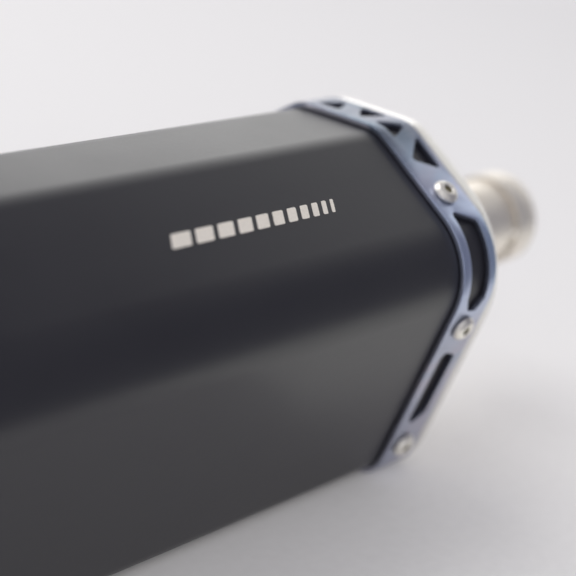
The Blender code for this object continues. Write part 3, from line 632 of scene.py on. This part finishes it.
def ring(name, turned, cad):
    """Ring drawn flat as (distance round, across) with its windows, then wrapped; window edges are rounded."""
    width, thick, fillet = RING_X1 - RING_X0, RING_THICK, 0.3
    shapes = window_shapes()
    cols = sorted({round(v, 6) for v in [-s for s in HALF] + HALF})
    verts, edges = [], []

    def add(p):
        verts.append(Vector(p))
        return len(verts) - 1

    for a in cols:
        i0, i1 = add((a, 0.0)), add((a, width))
        edges.append((i0, i1))
    for k in range(len(cols) - 1):
        edges += [(2 * k, 2 * k + 2), (2 * k + 1, 2 * k + 3)]
    for shape in shapes:
        ids = [add(p) for p in shape]
        edges += list(zip(ids, ids[1:] + ids[:1]))
    out_v, _, out_f, _, _, _ = delaunay_2d_cdt(verts, edges, [], 0, 1e-4)
    keep = []
    for f in out_f:
        c = sum((Vector(out_v[i]) for i in f), Vector((0.0, 0.0))) / len(f)
        if not any(inside(c, shape) for shape in shapes):
            keep.append(f)
    count = {}
    for f in keep:
        for i, j in zip(f, list(f[1:]) + [f[0]]):
            count.setdefault(frozenset((i, j)), []).append((i, j))
    rim = [v[0] for v in count.values() if len(v) == 1]
    rim = [(i, j) for i, j in rim if not (abs(abs(out_v[i][0]) - GIRTH) < 1e-3 and abs(abs(out_v[j][0]) - GIRTH) < 1e-3)]
    # each rim vertex's direction into the material
    push = {}
    for i, j in rim:
        d = (Vector(out_v[j]) - Vector(out_v[i])).normalized()
        nrm = Vector((-d.y, d.x))       # faces run counter-clockwise, material on the left
        for k in (i, j):
            push.setdefault(k, []).append(nrm)
    for k, ns in push.items():
        v = sum(ns, Vector((0.0, 0.0)))
        v = v.normalized()
        push[k] = v / max(0.5, v.dot(ns[0]))
    bm = bmesh.new()
    steps = 4

    def flat_to_row(p, depth, sign=1):
        x = RING_X0 + p.y
        s = p.x
        if turned:      # the same ring turned half round about the vertical
            x, s = -x, -s
        return wrap(s, x, depth)

    layers = []      # vertex maps from outer face to inner face
    for k in range(steps + 1):
        a = math.radians(90 * k / steps)
        inset, depth = fillet * (1 - math.sin(a)), fillet * (1 - math.cos(a))
        layers.append((inset, depth))
    layers += [(0.0, thick - 0.15), (0.15, thick)]
    tops, bottoms = {}, {}
    maps = []
    used = {i for f in keep for i in f}
    for li, (inset, depth) in enumerate(layers):
        table = {}
        first, last = li == 0, li == len(layers) - 1
        for i in (used if (first or last) else push.keys()):
            p = Vector(out_v[i]) + (push[i] * inset if i in push else Vector((0.0, 0.0)))
            if i in push and abs(abs(out_v[i][0]) - GIRTH) < 1e-3:
                p.x = out_v[i][0]
            table[i] = bm.verts.new(flat_to_row(p, depth))
        maps.append(table)
    for f in keep:
        bm.faces.new([maps[0][i] for i in f])
        bm.faces.new([maps[-1][i] for i in reversed(f)])
    for li, (a, b) in enumerate(zip(maps, maps[1:])):
        for i, j in rim:
            f = bm.faces.new((a[j], a[i], b[i], b[j]))
            edge_y = out_v[i][1]
            if 0.01 < edge_y < width - 0.01 and li >= 2:
                f.material_index = 1        # walls of the cut-outs take the painted-shade material
    bmesh.ops.remove_doubles(bm, verts=bm.verts, dist=1e-6)
    return new_object(name, bm, [BLUE, BLUE_WALL_PAINTED_SHADE], stands_for=(cad,), slot="ring_blue", sharp=38)


ring("inlet_ring_fine", False, "inlet_ring")
ring("outlet_ring_fine", True, "outlet_ring")


# ------------------------------------------------------------------ button-head screws
def screw_mesh(name, head_r=3.8, head_h=2.0, socket=1.25, shank=2.0, length=7.5, seat=0.3, depth=1.5):
    """Domed head with a hexagon socket; z = 0 is the surface it sits on (mm)."""
    bm = bmesh.new()
    n = 48
    prof = [(shank, -length), (shank, seat - 0.05), (head_r - 0.35, seat - 0.05), (head_r - 0.1, seat), (head_r, seat + 0.25), (head_r, seat + 0.62)]
    for k in range(1, 9):       # dome
        t = k / 8
        r = head_r - (head_r - (socket + 0.75)) * t ** 1.15
        h = seat + 0.62 + (head_h - 0.62) * math.sin(math.radians(90 * t)) ** 0.95
        prof.append((r, h))
    loops = [[bm.verts.new((r * math.cos(2 * math.pi * k / n), r * math.sin(2 * math.pi * k / n), h)) for k in range(n)]
             for r, h in prof]
    top = seat + head_h

    def hexa(radius, h, blend=1.0, circle=None):
        ring = []
        for k in range(n):
            a = 2 * math.pi * k / n
            b = (a % (math.pi / 3)) - math.pi / 6
            r = radius * math.cos(math.pi / 6) / math.cos(b)
            if circle:
                r = r * blend + circle * (1 - blend)
            ring.append(bm.verts.new((r * math.cos(a), r * math.sin(a), h)))
        return ring

    loops.append(hexa(socket * 1.1547 + 0.35, top - 0.02, 0.35, socket + 0.55))
    loops.append(hexa(socket * 1.1547 + 0.14, top - 0.16, 0.8, socket + 0.3))
    rim_index = len(loops)
    loops.append(hexa(socket * 1.1547, top - 0.32))
    loops.append(hexa(socket * 1.1547, top - depth))
    loops.append(hexa(socket * 0.55, top - depth - 0.35))
    # faces inside the socket get the painted-shade material
    faces_painted_shade = set()
    for li, (a, b) in enumerate(zip(loops, loops[1:])):
        for k in range(n):
            j = (k + 1) % n
            f = bm.faces.new((a[k], a[j], b[j], b[k]))
            if li >= rim_index:
                faces_painted_shade.add(f)
    tip = bm.verts.new((0, 0, top - depth - 0.5))
    for k in range(n):
        faces_painted_shade.add(bm.faces.new((loops[-1][k], loops[-1][(k + 1) % n], tip)))
    end = bm.verts.new((0, 0, -length))
    for k in range(n):
        bm.faces.new((loops[0][(k + 1) % n], loops[0][k], end))
    bmesh.ops.recalc_face_normals(bm, faces=bm.faces)
    for f in bm.faces:
        f.material_index = 1 if f in faces_painted_shade else 0
    for v in bm.verts:
        v.co *= MM
    mesh = bpy.data.meshes.new(name)
    bm.to_mesh(mesh)
    bm.free()
    mesh.shade_smooth()
    mesh.set_sharp_from_angle(angle=math.radians(33))
    mesh.materials.append(SCREW)
    mesh.materials.append(SOCKET_PAINTED_SHADE)
    return mesh


def facing(x, s, depth=0.0, spin=0.0):
    p, n = section_at(s, depth)
    turn = math.atan2(-n.x, n.y)
    return Matrix.Translation(row_point(x, p.x, p.y)) @ Matrix.Rotation(turn, 4, "X") @ Matrix.Rotation(spin, 4, "Z")


RING_SCREW = screw_mesh("ring_screw_mesh")
for end, x in (("inlet", SCREW_X), ("outlet", -SCREW_X)):
    k = 0
    for side in (1, -1):
        for s in SCREW_S:
            k += 1
            o = bpy.data.objects.new(f"{end}_button_screw_{k}", RING_SCREW)
            bpy.context.scene.collection.objects.link(o)
            o.matrix_world = facing(x, side * s, 0.0, math.radians(17 + 41 * k))
            finish_piece(o, "root", (f"{end}_screw_{k}",), "screw_steel")


# ------------------------------------------------------------------ inlet pipe
def tube_profile(outer, wall, lip=0.3):
    """Closed (along, radius) profile of a tube from its outer line."""
    inner = [(a, r - wall) for a, r in outer]
    return outer + list(reversed(inner))


outer = [(128.0, 18.3), (128.3, 18.5)] + [(128.3 + (163.0 - 128.3) * k / 6, 18.5) for k in range(1, 7)]
for k in range(1, 17):          # long taper down to the spigot
    t = k / 16
    outer.append((163.0 + 29.0 * t, 18.5 + (14.0 - 18.5) * (3 * t * t - 2 * t ** 3)))
outer += [(205.0, 14.0), (218.6, 14.0), (218.9, 13.85), (219.0, 13.6)]
inner = [(219.0, 12.9), (218.8, 12.55), (205.0, 12.5), (192.0, 12.5)]
for k in range(1, 17):
    t = 1 - k / 16
    inner.append((163.0 + 29.0 * t, 17.0 + (12.5 - 17.0) * (3 * t * t - 2 * t ** 3)))
inner += [(150.0, 17.0), (128.2, 17.0), (128.0, 17.2)]
pipe = lathe("inlet_pipe_fine", outer + inner, PIPE, steps=96, stands_for=("inlet_pipe",), slot="pipe_steel")
bpy.ops.mesh.primitive_cube_add(size=1.0)
slit = bpy.context.object
slit.data.transform(Matrix.Diagonal((16 * MM, 40 * MM, 1.8 * MM, 1.0)))
slit.location = row_point(214.0, 0, 0)
cut = pipe.modifiers.new("slits", "BOOLEAN")
cut.object = slit
cut.solver = "EXACT"
apply_modifiers(pipe)
bpy.data.objects.remove(slit, do_unlink=True)


def weld_bead(name, x, radius, width, count, mat, body="root", slot=None, axis_sign=1):
    """Stacked-ripple weld bead round a pipe where it meets its cap."""
    bm = bmesh.new()
    n = count * 6
    prof = [math.radians(v) for v in range(-20, 111, 13)]
    loops = []
    for k in range(n):
        a = 2 * math.pi * k / n
        ph = (k % 6) / 6
        swell = 1.0 + 0.10 * math.sin(math.pi * ph)
        ring = []
        for t in prof:
            rr = width * swell
            lean = 0.25 * width * math.cos(2 * math.pi * ph)
            along = x + axis_sign * (math.sin(max(t, 0)) * rr * 0.9 - (0.2 if t < 0 else 0))
            rad = radius + math.cos(t) * rr
            aa = a + lean / max(radius, 1) * 0.35 * math.sin(t)
            ring.append(bm.verts.new(row_point(along, rad * math.cos(aa), rad * math.sin(aa))))
        ring.append(bm.verts.new(row_point(x - 0.2 * axis_sign, (radius - 0.15) * math.cos(a), (radius - 0.15) * math.sin(a))))
        loops.append(ring)
    m = len(loops[0])
    for a, b in zip(loops, loops[1:] + loops[:1]):
        for i in range(m):
            j = (i + 1) % m
            bm.faces.new((a[i], a[j], b[j], b[i]))
    return new_object(name, bm, mat, body=body, slot=slot, sharp=60)


WELD = steel("weld_tint", (0.62, 0.58, 0.55), (0.40, 0.38, 0.40), (0.25, 0.4), 700, tint=(0.34, 0.33, 0.45))
weld_bead("inlet_weld_bead", CAP_X1, 18.5, 1.7, 46, WELD, slot="pipe_steel")
weld_bead("outlet_weld_bead", -CAP_X1, 21.0, 1.7, 52, WELD, slot="pipe_steel", axis_sign=-1)


# ------------------------------------------------------------------ clamp
def clamp_band():
    x0, x1 = 207.5, 217.5
    r_in, r_out, lug_y, lug_in, lug_out = 14.3, 15.4, 26.5, 2.0, 3.7
    n = 72
    a_in, a_out = math.asin((lug_in) / r_in), math.asin(lug_out / r_out)
    inner, outer = [], []
    for k in range(n + 1):
        a = a_in + (2 * math.pi - 2 * a_in) * k / n
        inner.append((r_in * math.cos(a), r_in * math.sin(a)))
        b = a_out + (2 * math.pi - 2 * a_out) * k / n
        outer.append((r_out * math.cos(b), r_out * math.sin(b)))
    ys_ = [15.9, 18, 21, 24, lug_y]
    inner = [(y, lug_in) for y in reversed(ys_)] + inner + [(y, -lug_in) for y in ys_]
    outer = [(y, lug_out) for y in reversed(ys_)] + outer + [(y, -lug_out) for y in ys_]
    bm = bmesh.new()
    prof = [x0, x1]
    grid = []
    for x in prof:
        grid.append(([bm.verts.new(row_point(x, *p)) for p in inner], [bm.verts.new(row_point(x, *p)) for p in outer]))
    m = len(inner)
    for i in range(m - 1):
        for side in (0, 1):
            a, b = grid[0][side], grid[1][side]
            bm.faces.new((a[i], a[i + 1], b[i + 1], b[i]))
        for g in (0, 1):
            a, b = grid[g]
            bm.faces.new((a[i], a[i + 1], b[i + 1], b[i]))
    for i in (0, m - 1):
        bm.faces.new((grid[0][0][i], grid[0][1][i], grid[1][1][i], grid[1][0][i]))
    bmesh.ops.recalc_face_normals(bm, faces=bm.faces)
    obj = new_object("clamp_band_fine", bm, BAND, body="clamp", stands_for=("clamp_band",), slot="cap_steel")
    hole = cutter_rod(2.8, 14, row_point(212.5, 21.0, 0), "Z")
    b = obj.modifiers.new("hole", "BOOLEAN")
    b.object = hole
    b.solver = "EXACT"
    bev = obj.modifiers.new("bevel", "BEVEL")
    bev.width = 0.25 * MM
    bev.segments = 2
    bev.limit_method = "ANGLE"
    bev.angle_limit = math.radians(50)
    apply_modifiers(obj)
    bpy.data.objects.remove(hole, do_unlink=True)


def cutter_rod(radius, depth, at, axis="Z", sides=48):
    bpy.ops.mesh.primitive_cylinder_add(vertices=sides, radius=radius * MM, depth=depth * MM)
    o = bpy.context.object
    rot = {"Z": Matrix.Identity(4), "Y": Matrix.Rotation(math.pi / 2, 4, "X"), "X": Matrix.Rotation(math.pi / 2, 4, "Y")}[axis]
    o.matrix_world = Matrix.Translation(at) @ rot
    bpy.context.view_layer.update()
    return o


clamp_band()


def hex_nut(name, radius, z0, z1, at, bore, body, stands_for, slot, chamfer=0.55):
    """Nut with chamfered corners and a bore, axis along Z (mm)."""
    bm = bmesh.new()
    n = 72
    loops = []

    def hexring(z, cap):
        ring = []
        for k in range(n):
            a = 2 * math.pi * k / n
            b = (a % (math.pi / 3)) - math.pi / 6
            r = min(radius * math.cos(math.pi / 6) / math.cos(b), cap)
            ring.append(bm.verts.new(row_point(at[0] + r * math.cos(a), at[1] + r * math.sin(a), z)))
        return ring

    def ringc(z, r):
        return [bm.verts.new(row_point(at[0] + r * math.cos(2 * math.pi * k / n), at[1] + r * math.sin(2 * math.pi * k / n), z)) for k in range(n)]

    flat = radius * math.cos(math.pi / 6)
    loops.append(ringc(z0, bore + 0.35))
    loops.append(hexring(z0, flat * 0.99))
    loops.append(hexring(z0 + chamfer, radius))
    loops.append(hexring(z1 - chamfer, radius))
    loops.append(hexring(z1, flat * 0.99))
    loops.append(ringc(z1, bore + 0.35))
    loops.append(ringc(z1 - 0.35, bore))
    loops.append(ringc(z0 + 0.35, bore))
    for a, b in zip(loops, loops[1:] + loops[:1]):
        for k in range(n):
            j = (k + 1) % n
            bm.faces.new((a[k], a[j], b[j], b[k]))
    return new_object(name, bm, SCREW, body=body, stands_for=stands_for, slot=slot, sharp=28)


hex_nut("clamp_nut_fine", 4.62, -8.0, -4.0, (212.5, 21.0), 2.55, "clamp", ("clamp_nut",), "screw_steel")

cap_bolt = lathe_bm([(9.0, 0.0), (9.0, 3.7), (8.85, 4.0), (8.5, 4.2), (4.3, 4.2), (4.05, 4.05), (4.0, 3.8), (4.0, 2.5), (-9.5, 2.5), (-10.0, 2.0), (-10.0, 0.0)],
                    steps=48, closed=False, origin=(212.5, 21.0, 0.0), axis="Z")
bolt = new_object("clamp_bolt_fine", cap_bolt, [SCREW, SOCKET_PAINTED_SHADE], body="clamp", stands_for=("clamp_bolt",), slot="screw_steel")
hexcut = cutter_rod(2.3, 6.0, row_point(212.5, 21.0, 9.0), "Z", 6)
hexcut.data.materials.append(SCREW)
bm_ = bolt.modifiers.new("socket", "BOOLEAN")
bm_.object = hexcut
bm_.solver = "EXACT"
apply_modifiers(bolt)
bpy.data.objects.remove(hexcut, do_unlink=True)


# ------------------------------------------------------------------ tail end
lathe("outlet_tube_fine",
      [(-128.2, 21.0), (-140.0, 21.0), (-152.0, 21.0), (-161.6, 21.0), (-162.6, 21.15)] +
      [(-163.6 - 1.2 * math.cos(math.radians(a)), 21.35 + 1.25 * math.sin(math.radians(a))) for a in (150, 120, 90, 60, 30, 0, -30, -60)] +
      [(-165.6, 19.75), (-164.9, 19.5), (-150.0, 19.5), (-128.2, 19.5), (-128.0, 19.7), (-128.0, 20.8)],
      PIPE, steps=96, stands_for=("outlet_tube",), slot="pipe_steel", sharp=45)
insert = lathe("tail_insert_fine",
               [(-149.0, 19.0), (-149.2, 19.2), (-162.0, 19.2), (-162.7, 18.95), (-163.0, 18.3), (-163.0, 11.6), (-162.8, 10.6), (-162.2, 9.8), (-161.0, 9.5),
                (-130.0, 9.5), (-92.2, 9.5), (-92.0, 9.7), (-92.0, 10.8), (-92.2, 11.0), (-130.0, 11.0), (-160.2, 11.0), (-161.1, 11.4), (-161.4, 12.3),
                (-161.4, 17.2), (-161.0, 17.8), (-149.2, 17.8), (-149.0, 18.0)],
               RIM, steps=96, body="insert", stands_for=("db_killer_insert",), slot="cap_steel", sharp=45)
drills = []
for row in range(3):
    for k in range(4):
        o = cutter_rod(2.5, 5, Vector((0, 0, 0)), "Z", 24)
        turn = Matrix.Rotation(math.pi / 2 * k + math.pi / 4 * row, 4, "X")
        o.matrix_world = Matrix.Translation(row_point(-100.0 - row * 12, 0, 0)) @ turn @ Matrix.Translation((0, 0, 10.25 * MM))
        drills.append(o)
bpy.context.view_layer.update()
with bpy.context.temp_override(active_object=drills[0], selected_editable_objects=drills):
    bpy.ops.object.join()
c = insert.modifiers.new("drills", "BOOLEAN")
c.object = drills[0]
c.solver = "EXACT"
apply_modifiers(insert, 45)
bpy.data.objects.remove(drills[0], do_unlink=True)

hex_nut("insert_weld_nut_fine", 5.5, -25.3, -21.3, (-156.0, 0.0), 2.55, "root", ("insert_screw_nut",), "screw_steel")
PIN = screw_mesh("pin_mesh", head_r=4.6, head_h=2.6, socket=1.95, shank=2.5, length=5.9, seat=0.0, depth=1.8)
pin = bpy.data.objects.new("insert_screw_fine", PIN)
bpy.context.scene.collection.objects.link(pin)
pin.matrix_world = Matrix.Translation(row_point(-156.0, 0, -19.8 - 5.9)) @ Matrix.Rotation(math.pi, 4, "X")
finish_piece(pin, "retaining_screw", ("insert_screw",), "screw_steel")

# ------------------------------------------------------------------ hanger
nodes = frame["nodes"]
for key, mat in (("hanger_bracket", BRACKET), ("hanger_backing_plate", BRACKET), ("core_tube", PIPE), ("core_support_ring", PIPE),
                 ("steel_wool_wrap", STEEL_WOOL), ("glass_wool_packing", GLASS_WOOL)):
    o = nodes[key]
    o.data.materials.clear()
    o.data.materials.append(mat)
hb = nodes["hanger_bracket"].modifiers.new("edge", "BEVEL")
hb.width = 0.45 * MM
hb.segments = 3
hb.limit_method = "ANGLE"
hb.angle_limit = math.radians(35)

lean_n = Vector((math.cos(LEAN), -math.sin(LEAN)))
lean_d = Vector((math.sin(LEAN), math.cos(LEAN)))


def facet_point(z, depth):
    base = Vector((SIDE_HALF, SIDE_Z)) - lean_n * depth
    return base + lean_d * ((z - base.y) / lean_d.y)


HB = screw_mesh("hanger_bolt_mesh", head_r=5.2, head_h=3.0, socket=2.2, shank=3.0, length=8.4, seat=2.3, depth=2.2)
for k, dx in enumerate((-9.0, 9.0)):
    p = facet_point(-15.9, 0.0)
    out = Vector((0.0, lean_n.x, lean_n.y))
    up = out.cross(Vector((1, 0, 0)))
    m = Matrix((Vector((1, 0, 0)), up, out)).transposed().to_4x4()
    m.translation = row_point(-80.0 + dx, p.x, p.y)
    o = bpy.data.objects.new(f"hanger_bolt_fine_{k + 1}", HB)
    bpy.context.scene.collection.objects.link(o)
    o.matrix_world = m @ Matrix.Rotation(0.4 + k, 4, "Z")
    finish_piece(o, "root", (f"hanger_bolt_{k + 1}",), "screw_steel")

b0 = facet_point(22.1, SLEEVE_OUT - 0.3)
eye = (-80.0, b0.x + 1.75, 57.1)
g = 2.05
lathe("hanger_bush_fine",
      [(-6.0, 6.2), (-5.4, 5.3), (5.4, 5.3), (6.0, 6.2)] + arc_points(5.0, 11.5, 1.0, 0, 90, 5)[:] +
      [(g + 0.3, 12.5), (g, 12.2), (g, 9.0), (-g, 9.0), (-g, 12.2), (-g - 0.3, 12.5)] + arc_points(-5.0, 11.5, 1.0, 90, 180, 5),
      RUBBER, steps=72, origin=eye, axis="Y", stands_for=("hanger_bush",), slot="rubber", sharp=40)
lathe("hanger_spacer_fine", [(-7.0, 3.6), (-6.7, 3.3), (6.7, 3.3), (7.0, 3.6), (7.0, 4.7), (6.7, 5.0), (-6.7, 5.0), (-7.0, 4.7)],
      SCREW, steps=64, origin=eye, axis="Y", stands_for=("hanger_spacer",), slot="screw_steel", sharp=30)


# ------------------------------------------------------------------ plain row of bars where the sleeve is marked
def mark_bars():
    """A row of slanted bars, a plain pattern that spells nothing, 0.08 mm proud of the sleeve."""
    s_top, s_low, x_from, x_to = 33.7, 37.8, 125.0 - 92.6, 125.0 - 35.2
    lean, bars, gap = 2.1, 11, 1.6
    room = (x_to - x_from - gap * (bars - 1)) / bars
    bm = bmesh.new()
    x0 = x_from
    for k in range(bars):       # the bars thin out towards the inlet end
        x1 = x0 + room * (1.68 - 1.36 * k / (bars - 1))
        quad = [(x0, s_low), (x1, s_low), (x1 + lean, s_top), (x0 + lean, s_top)]
        quad = rounded([(a, b) for a, b in quad], 0.35, 3)
        top = [bm.verts.new(wrap(s, x, SLEEVE_OUT - 0.08)) for x, s in quad]
        low = [bm.verts.new(wrap(s, x, SLEEVE_OUT + 0.05)) for x, s in quad]
        bm.faces.new(top)
        bm.faces.new(list(reversed(low)))
        for i in range(len(quad)):
            j = (i + 1) % len(quad)
            bm.faces.new((top[j], top[i], low[i], low[j]))
        x0 = x1 + gap
    return new_object("sleeve_bars", bm, MARK, sharp=30)


mark_bars()


# ------------------------------------------------------------------ floor, light, camera
def floor():
    bm = bmesh.new()
    bmesh.ops.create_grid(bm, x_segments=2, y_segments=2, size=6.0)
    mesh = bpy.data.meshes.new("floor")
    bm.to_mesh(mesh)
    bm.free()
    o = bpy.data.objects.new("floor", mesh)
    bpy.context.scene.collection.objects.link(o)
    o.location = (0, 0, -0.0006)
    m = Nodes("floor_paper")
    n = m.noise(300, 3)
    away = m.t.nodes.new("ShaderNodeVectorMath")       # painted light: the floor glows brighter away from the object
    away.operation = "LENGTH"
    m.put(away.inputs[0], m.coord)
    painted_floor_glow = m.range(away.outputs["Value"], 0.9, 2.8, 0.0, 0.50)
    mesh.materials.append(m.done(Base_Color=m.ramp(n, [(0.3, (0.845, 0.832, 0.822)), (0.7, (0.87, 0.857, 0.847))]), Roughness=1.0,
                                 Specular_IOR_Level=0.0, Emission_Color=(1.0, 0.995, 0.985), Emission_Strength=painted_floor_glow,
                                 Normal=m.bump(n, 0.03, 0.0005)))
    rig.stage(o)


floor()


def area(name, at, to, size, power, colour=(1, 1, 1), size_y=None):
    light = bpy.data.lights.new(name, "AREA")
    light.shape = "RECTANGLE" if size_y else "SQUARE"
    light.size = size
    if size_y:
        light.size_y = size_y
    light.energy = power
    light.color = colour
    o = bpy.data.objects.new(name, light)
    bpy.context.scene.collection.objects.link(o)
    o.location = at
    o.rotation_mode = "QUATERNION"
    o.rotation_quaternion = (Vector(to) - Vector(at)).to_track_quat("-Z", "Y")
    o.visible_camera = False
    return o


area("key_above", (-0.2, 0.95, 1.35), (0.2, 0.25, 0.0), 1.3, 12, (1.0, 0.995, 0.98))
area("back_right", (1.7, 1.5, 0.95), (0.1, 0.1, 0.1), 1.5, 6.0, (1.0, 0.99, 0.98))
area("fill_left", (-0.9, -1.3, 1.0), (0.25, -0.1, 0.0), 1.1, 13.5, (1.0, 0.985, 0.97))

def card(name, corners, colour, glow):
    """Studio card seen only in reflections: a dark flag or a pale bounce card."""
    mesh = bpy.data.meshes.new(name)
    mesh.from_pydata([tuple(c) for c in corners], [], [(0, 1, 2, 3)])
    o = bpy.data.objects.new(name, mesh)
    bpy.context.scene.collection.objects.link(o)
    m = Nodes(name + "_surface")
    n = m.noise(40, 2)
    mesh.materials.append(m.done(Base_Color=(0.01, 0.01, 0.01), Roughness=0.9, Specular_IOR_Level=0.0,
                                 Emission_Color=m.ramp(n, [(0.3, colour), (0.7, tuple(c * 0.97 for c in colour))]), Emission_Strength=glow))
    o.visible_camera = o.visible_diffuse = o.visible_shadow = o.visible_transmission = False
    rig.stage(o)


card("dark_flag", [(-0.25, -0.17, 0.0), (0.6, -0.17, 0.0), (0.6, -0.17, 0.35), (-0.25, -0.17, 0.35)], (0.82, 0.83, 1.0), 0.25)
card("bounce_card", [(-0.05, -0.155, 0.002), (0.35, -0.155, 0.002), (0.35, -0.06, 0.002), (-0.02, -0.06, 0.002)], (1.0, 0.99, 0.97), 0.90)

# studio surround: bright low behind the inlet end, dark above and towards the viewer
world = bpy.data.worlds.new("studio")
bpy.context.scene.world = world
world.use_nodes = True
wt = world.node_tree
bg = wt.nodes["Background"]
coord = wt.nodes.new("ShaderNodeTexCoord")
dot = wt.nodes.new("ShaderNodeVectorMath")
dot.operation = "DOT_PRODUCT"
wt.links.new(coord.outputs["Generated"], dot.inputs[0])
dot.inputs[1].default_value = (1.0, 0.3, 0.0)
ramp = wt.nodes.new("ShaderNodeMapRange")
ramp.interpolation_type = "SMOOTHSTEP"
wt.links.new(dot.outputs["Value"], ramp.inputs["Value"])
ramp.inputs["From Min"].default_value = 0.61
ramp.inputs["From Max"].default_value = 0.79
ramp.inputs["To Min"].default_value = 0.0
ramp.inputs["To Max"].default_value = 1.0
tone = wt.nodes.new("ShaderNodeMix")
tone.data_type = "RGBA"
wt.links.new(ramp.outputs[0], tone.inputs[0])
tone.inputs[6].default_value = (0.062, 0.060, 0.105, 1)
tone.inputs[7].default_value = (0.98, 0.975, 0.96, 1)
rest = wt.nodes.new("ShaderNodeMapRange")      # plain soft fill from every other side
rest.interpolation_type = "SMOOTHSTEP"
wt.links.new(dot.outputs["Value"], rest.inputs["Value"])
rest.inputs["From Min"].default_value = 0.16
rest.inputs["From Max"].default_value = 0.40
rest.inputs["To Min"].default_value = 0.42
rest.inputs["To Max"].default_value = 0.0
both = wt.nodes.new("ShaderNodeMix")
both.data_type = "RGBA"
both.blend_type = "ADD"
both.inputs[0].default_value = 1.0
wt.links.new(tone.outputs[2], both.inputs[6])
wt.links.new(rest.outputs[0], both.inputs[7])
path = wt.nodes.new("ShaderNodeLightPath")
mix = wt.nodes.new("ShaderNodeMix")
mix.data_type = "RGBA"
wt.links.new(path.outputs["Is Camera Ray"], mix.inputs[0])
wt.links.new(both.outputs[2], mix.inputs[6])
mix.inputs[7].default_value = (0.86, 0.86, 0.86, 1)
wt.links.new(mix.outputs[2], bg.inputs[0])
bg.inputs[1].default_value = 1.0

cam_data = bpy.data.cameras.new("camera")
cam = bpy.data.objects.new("camera", cam_data)
bpy.context.scene.collection.objects.link(cam)
bpy.context.scene.camera = cam
cam_data.sensor_width = 36.0
cam_data.lens = 1475.0926 / 576 * 36.0
cam_data.clip_start, cam_data.clip_end = 0.01, 50
f = Vector((0.70278989, 0.61286639, -0.36122176))
r = Vector((0.68565637, -0.71889692, 0.11429159))
u = Vector((0.18963574, 0.32799697, 0.92544923))
m = Matrix((r, u, -f)).transposed().to_4x4()
m.translation = Vector((-317.31667785 - 7.45 - 0.5, -266.72335831, 132.4253944 + 77.4)) * MM
cam.matrix_world = m
focus = bpy.data.objects.new("focus_point", None)
bpy.context.scene.collection.objects.link(focus)
focus.location = wrap(37.0, 88.0, 0.0)
cam_data.dof.use_dof = True
cam_data.dof.focus_object = focus
cam_data.dof.aperture_fstop = 6.8

scene = bpy.context.scene
scene.view_settings.view_transform = "Standard"
scene.view_settings.look = "None"

lo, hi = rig.bounds()
with open("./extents.json", "w") as out_file:
    json.dump({"cad": [list(cad_lo), list(cad_hi)], "visual": [list(lo), list(hi)]}, out_file)
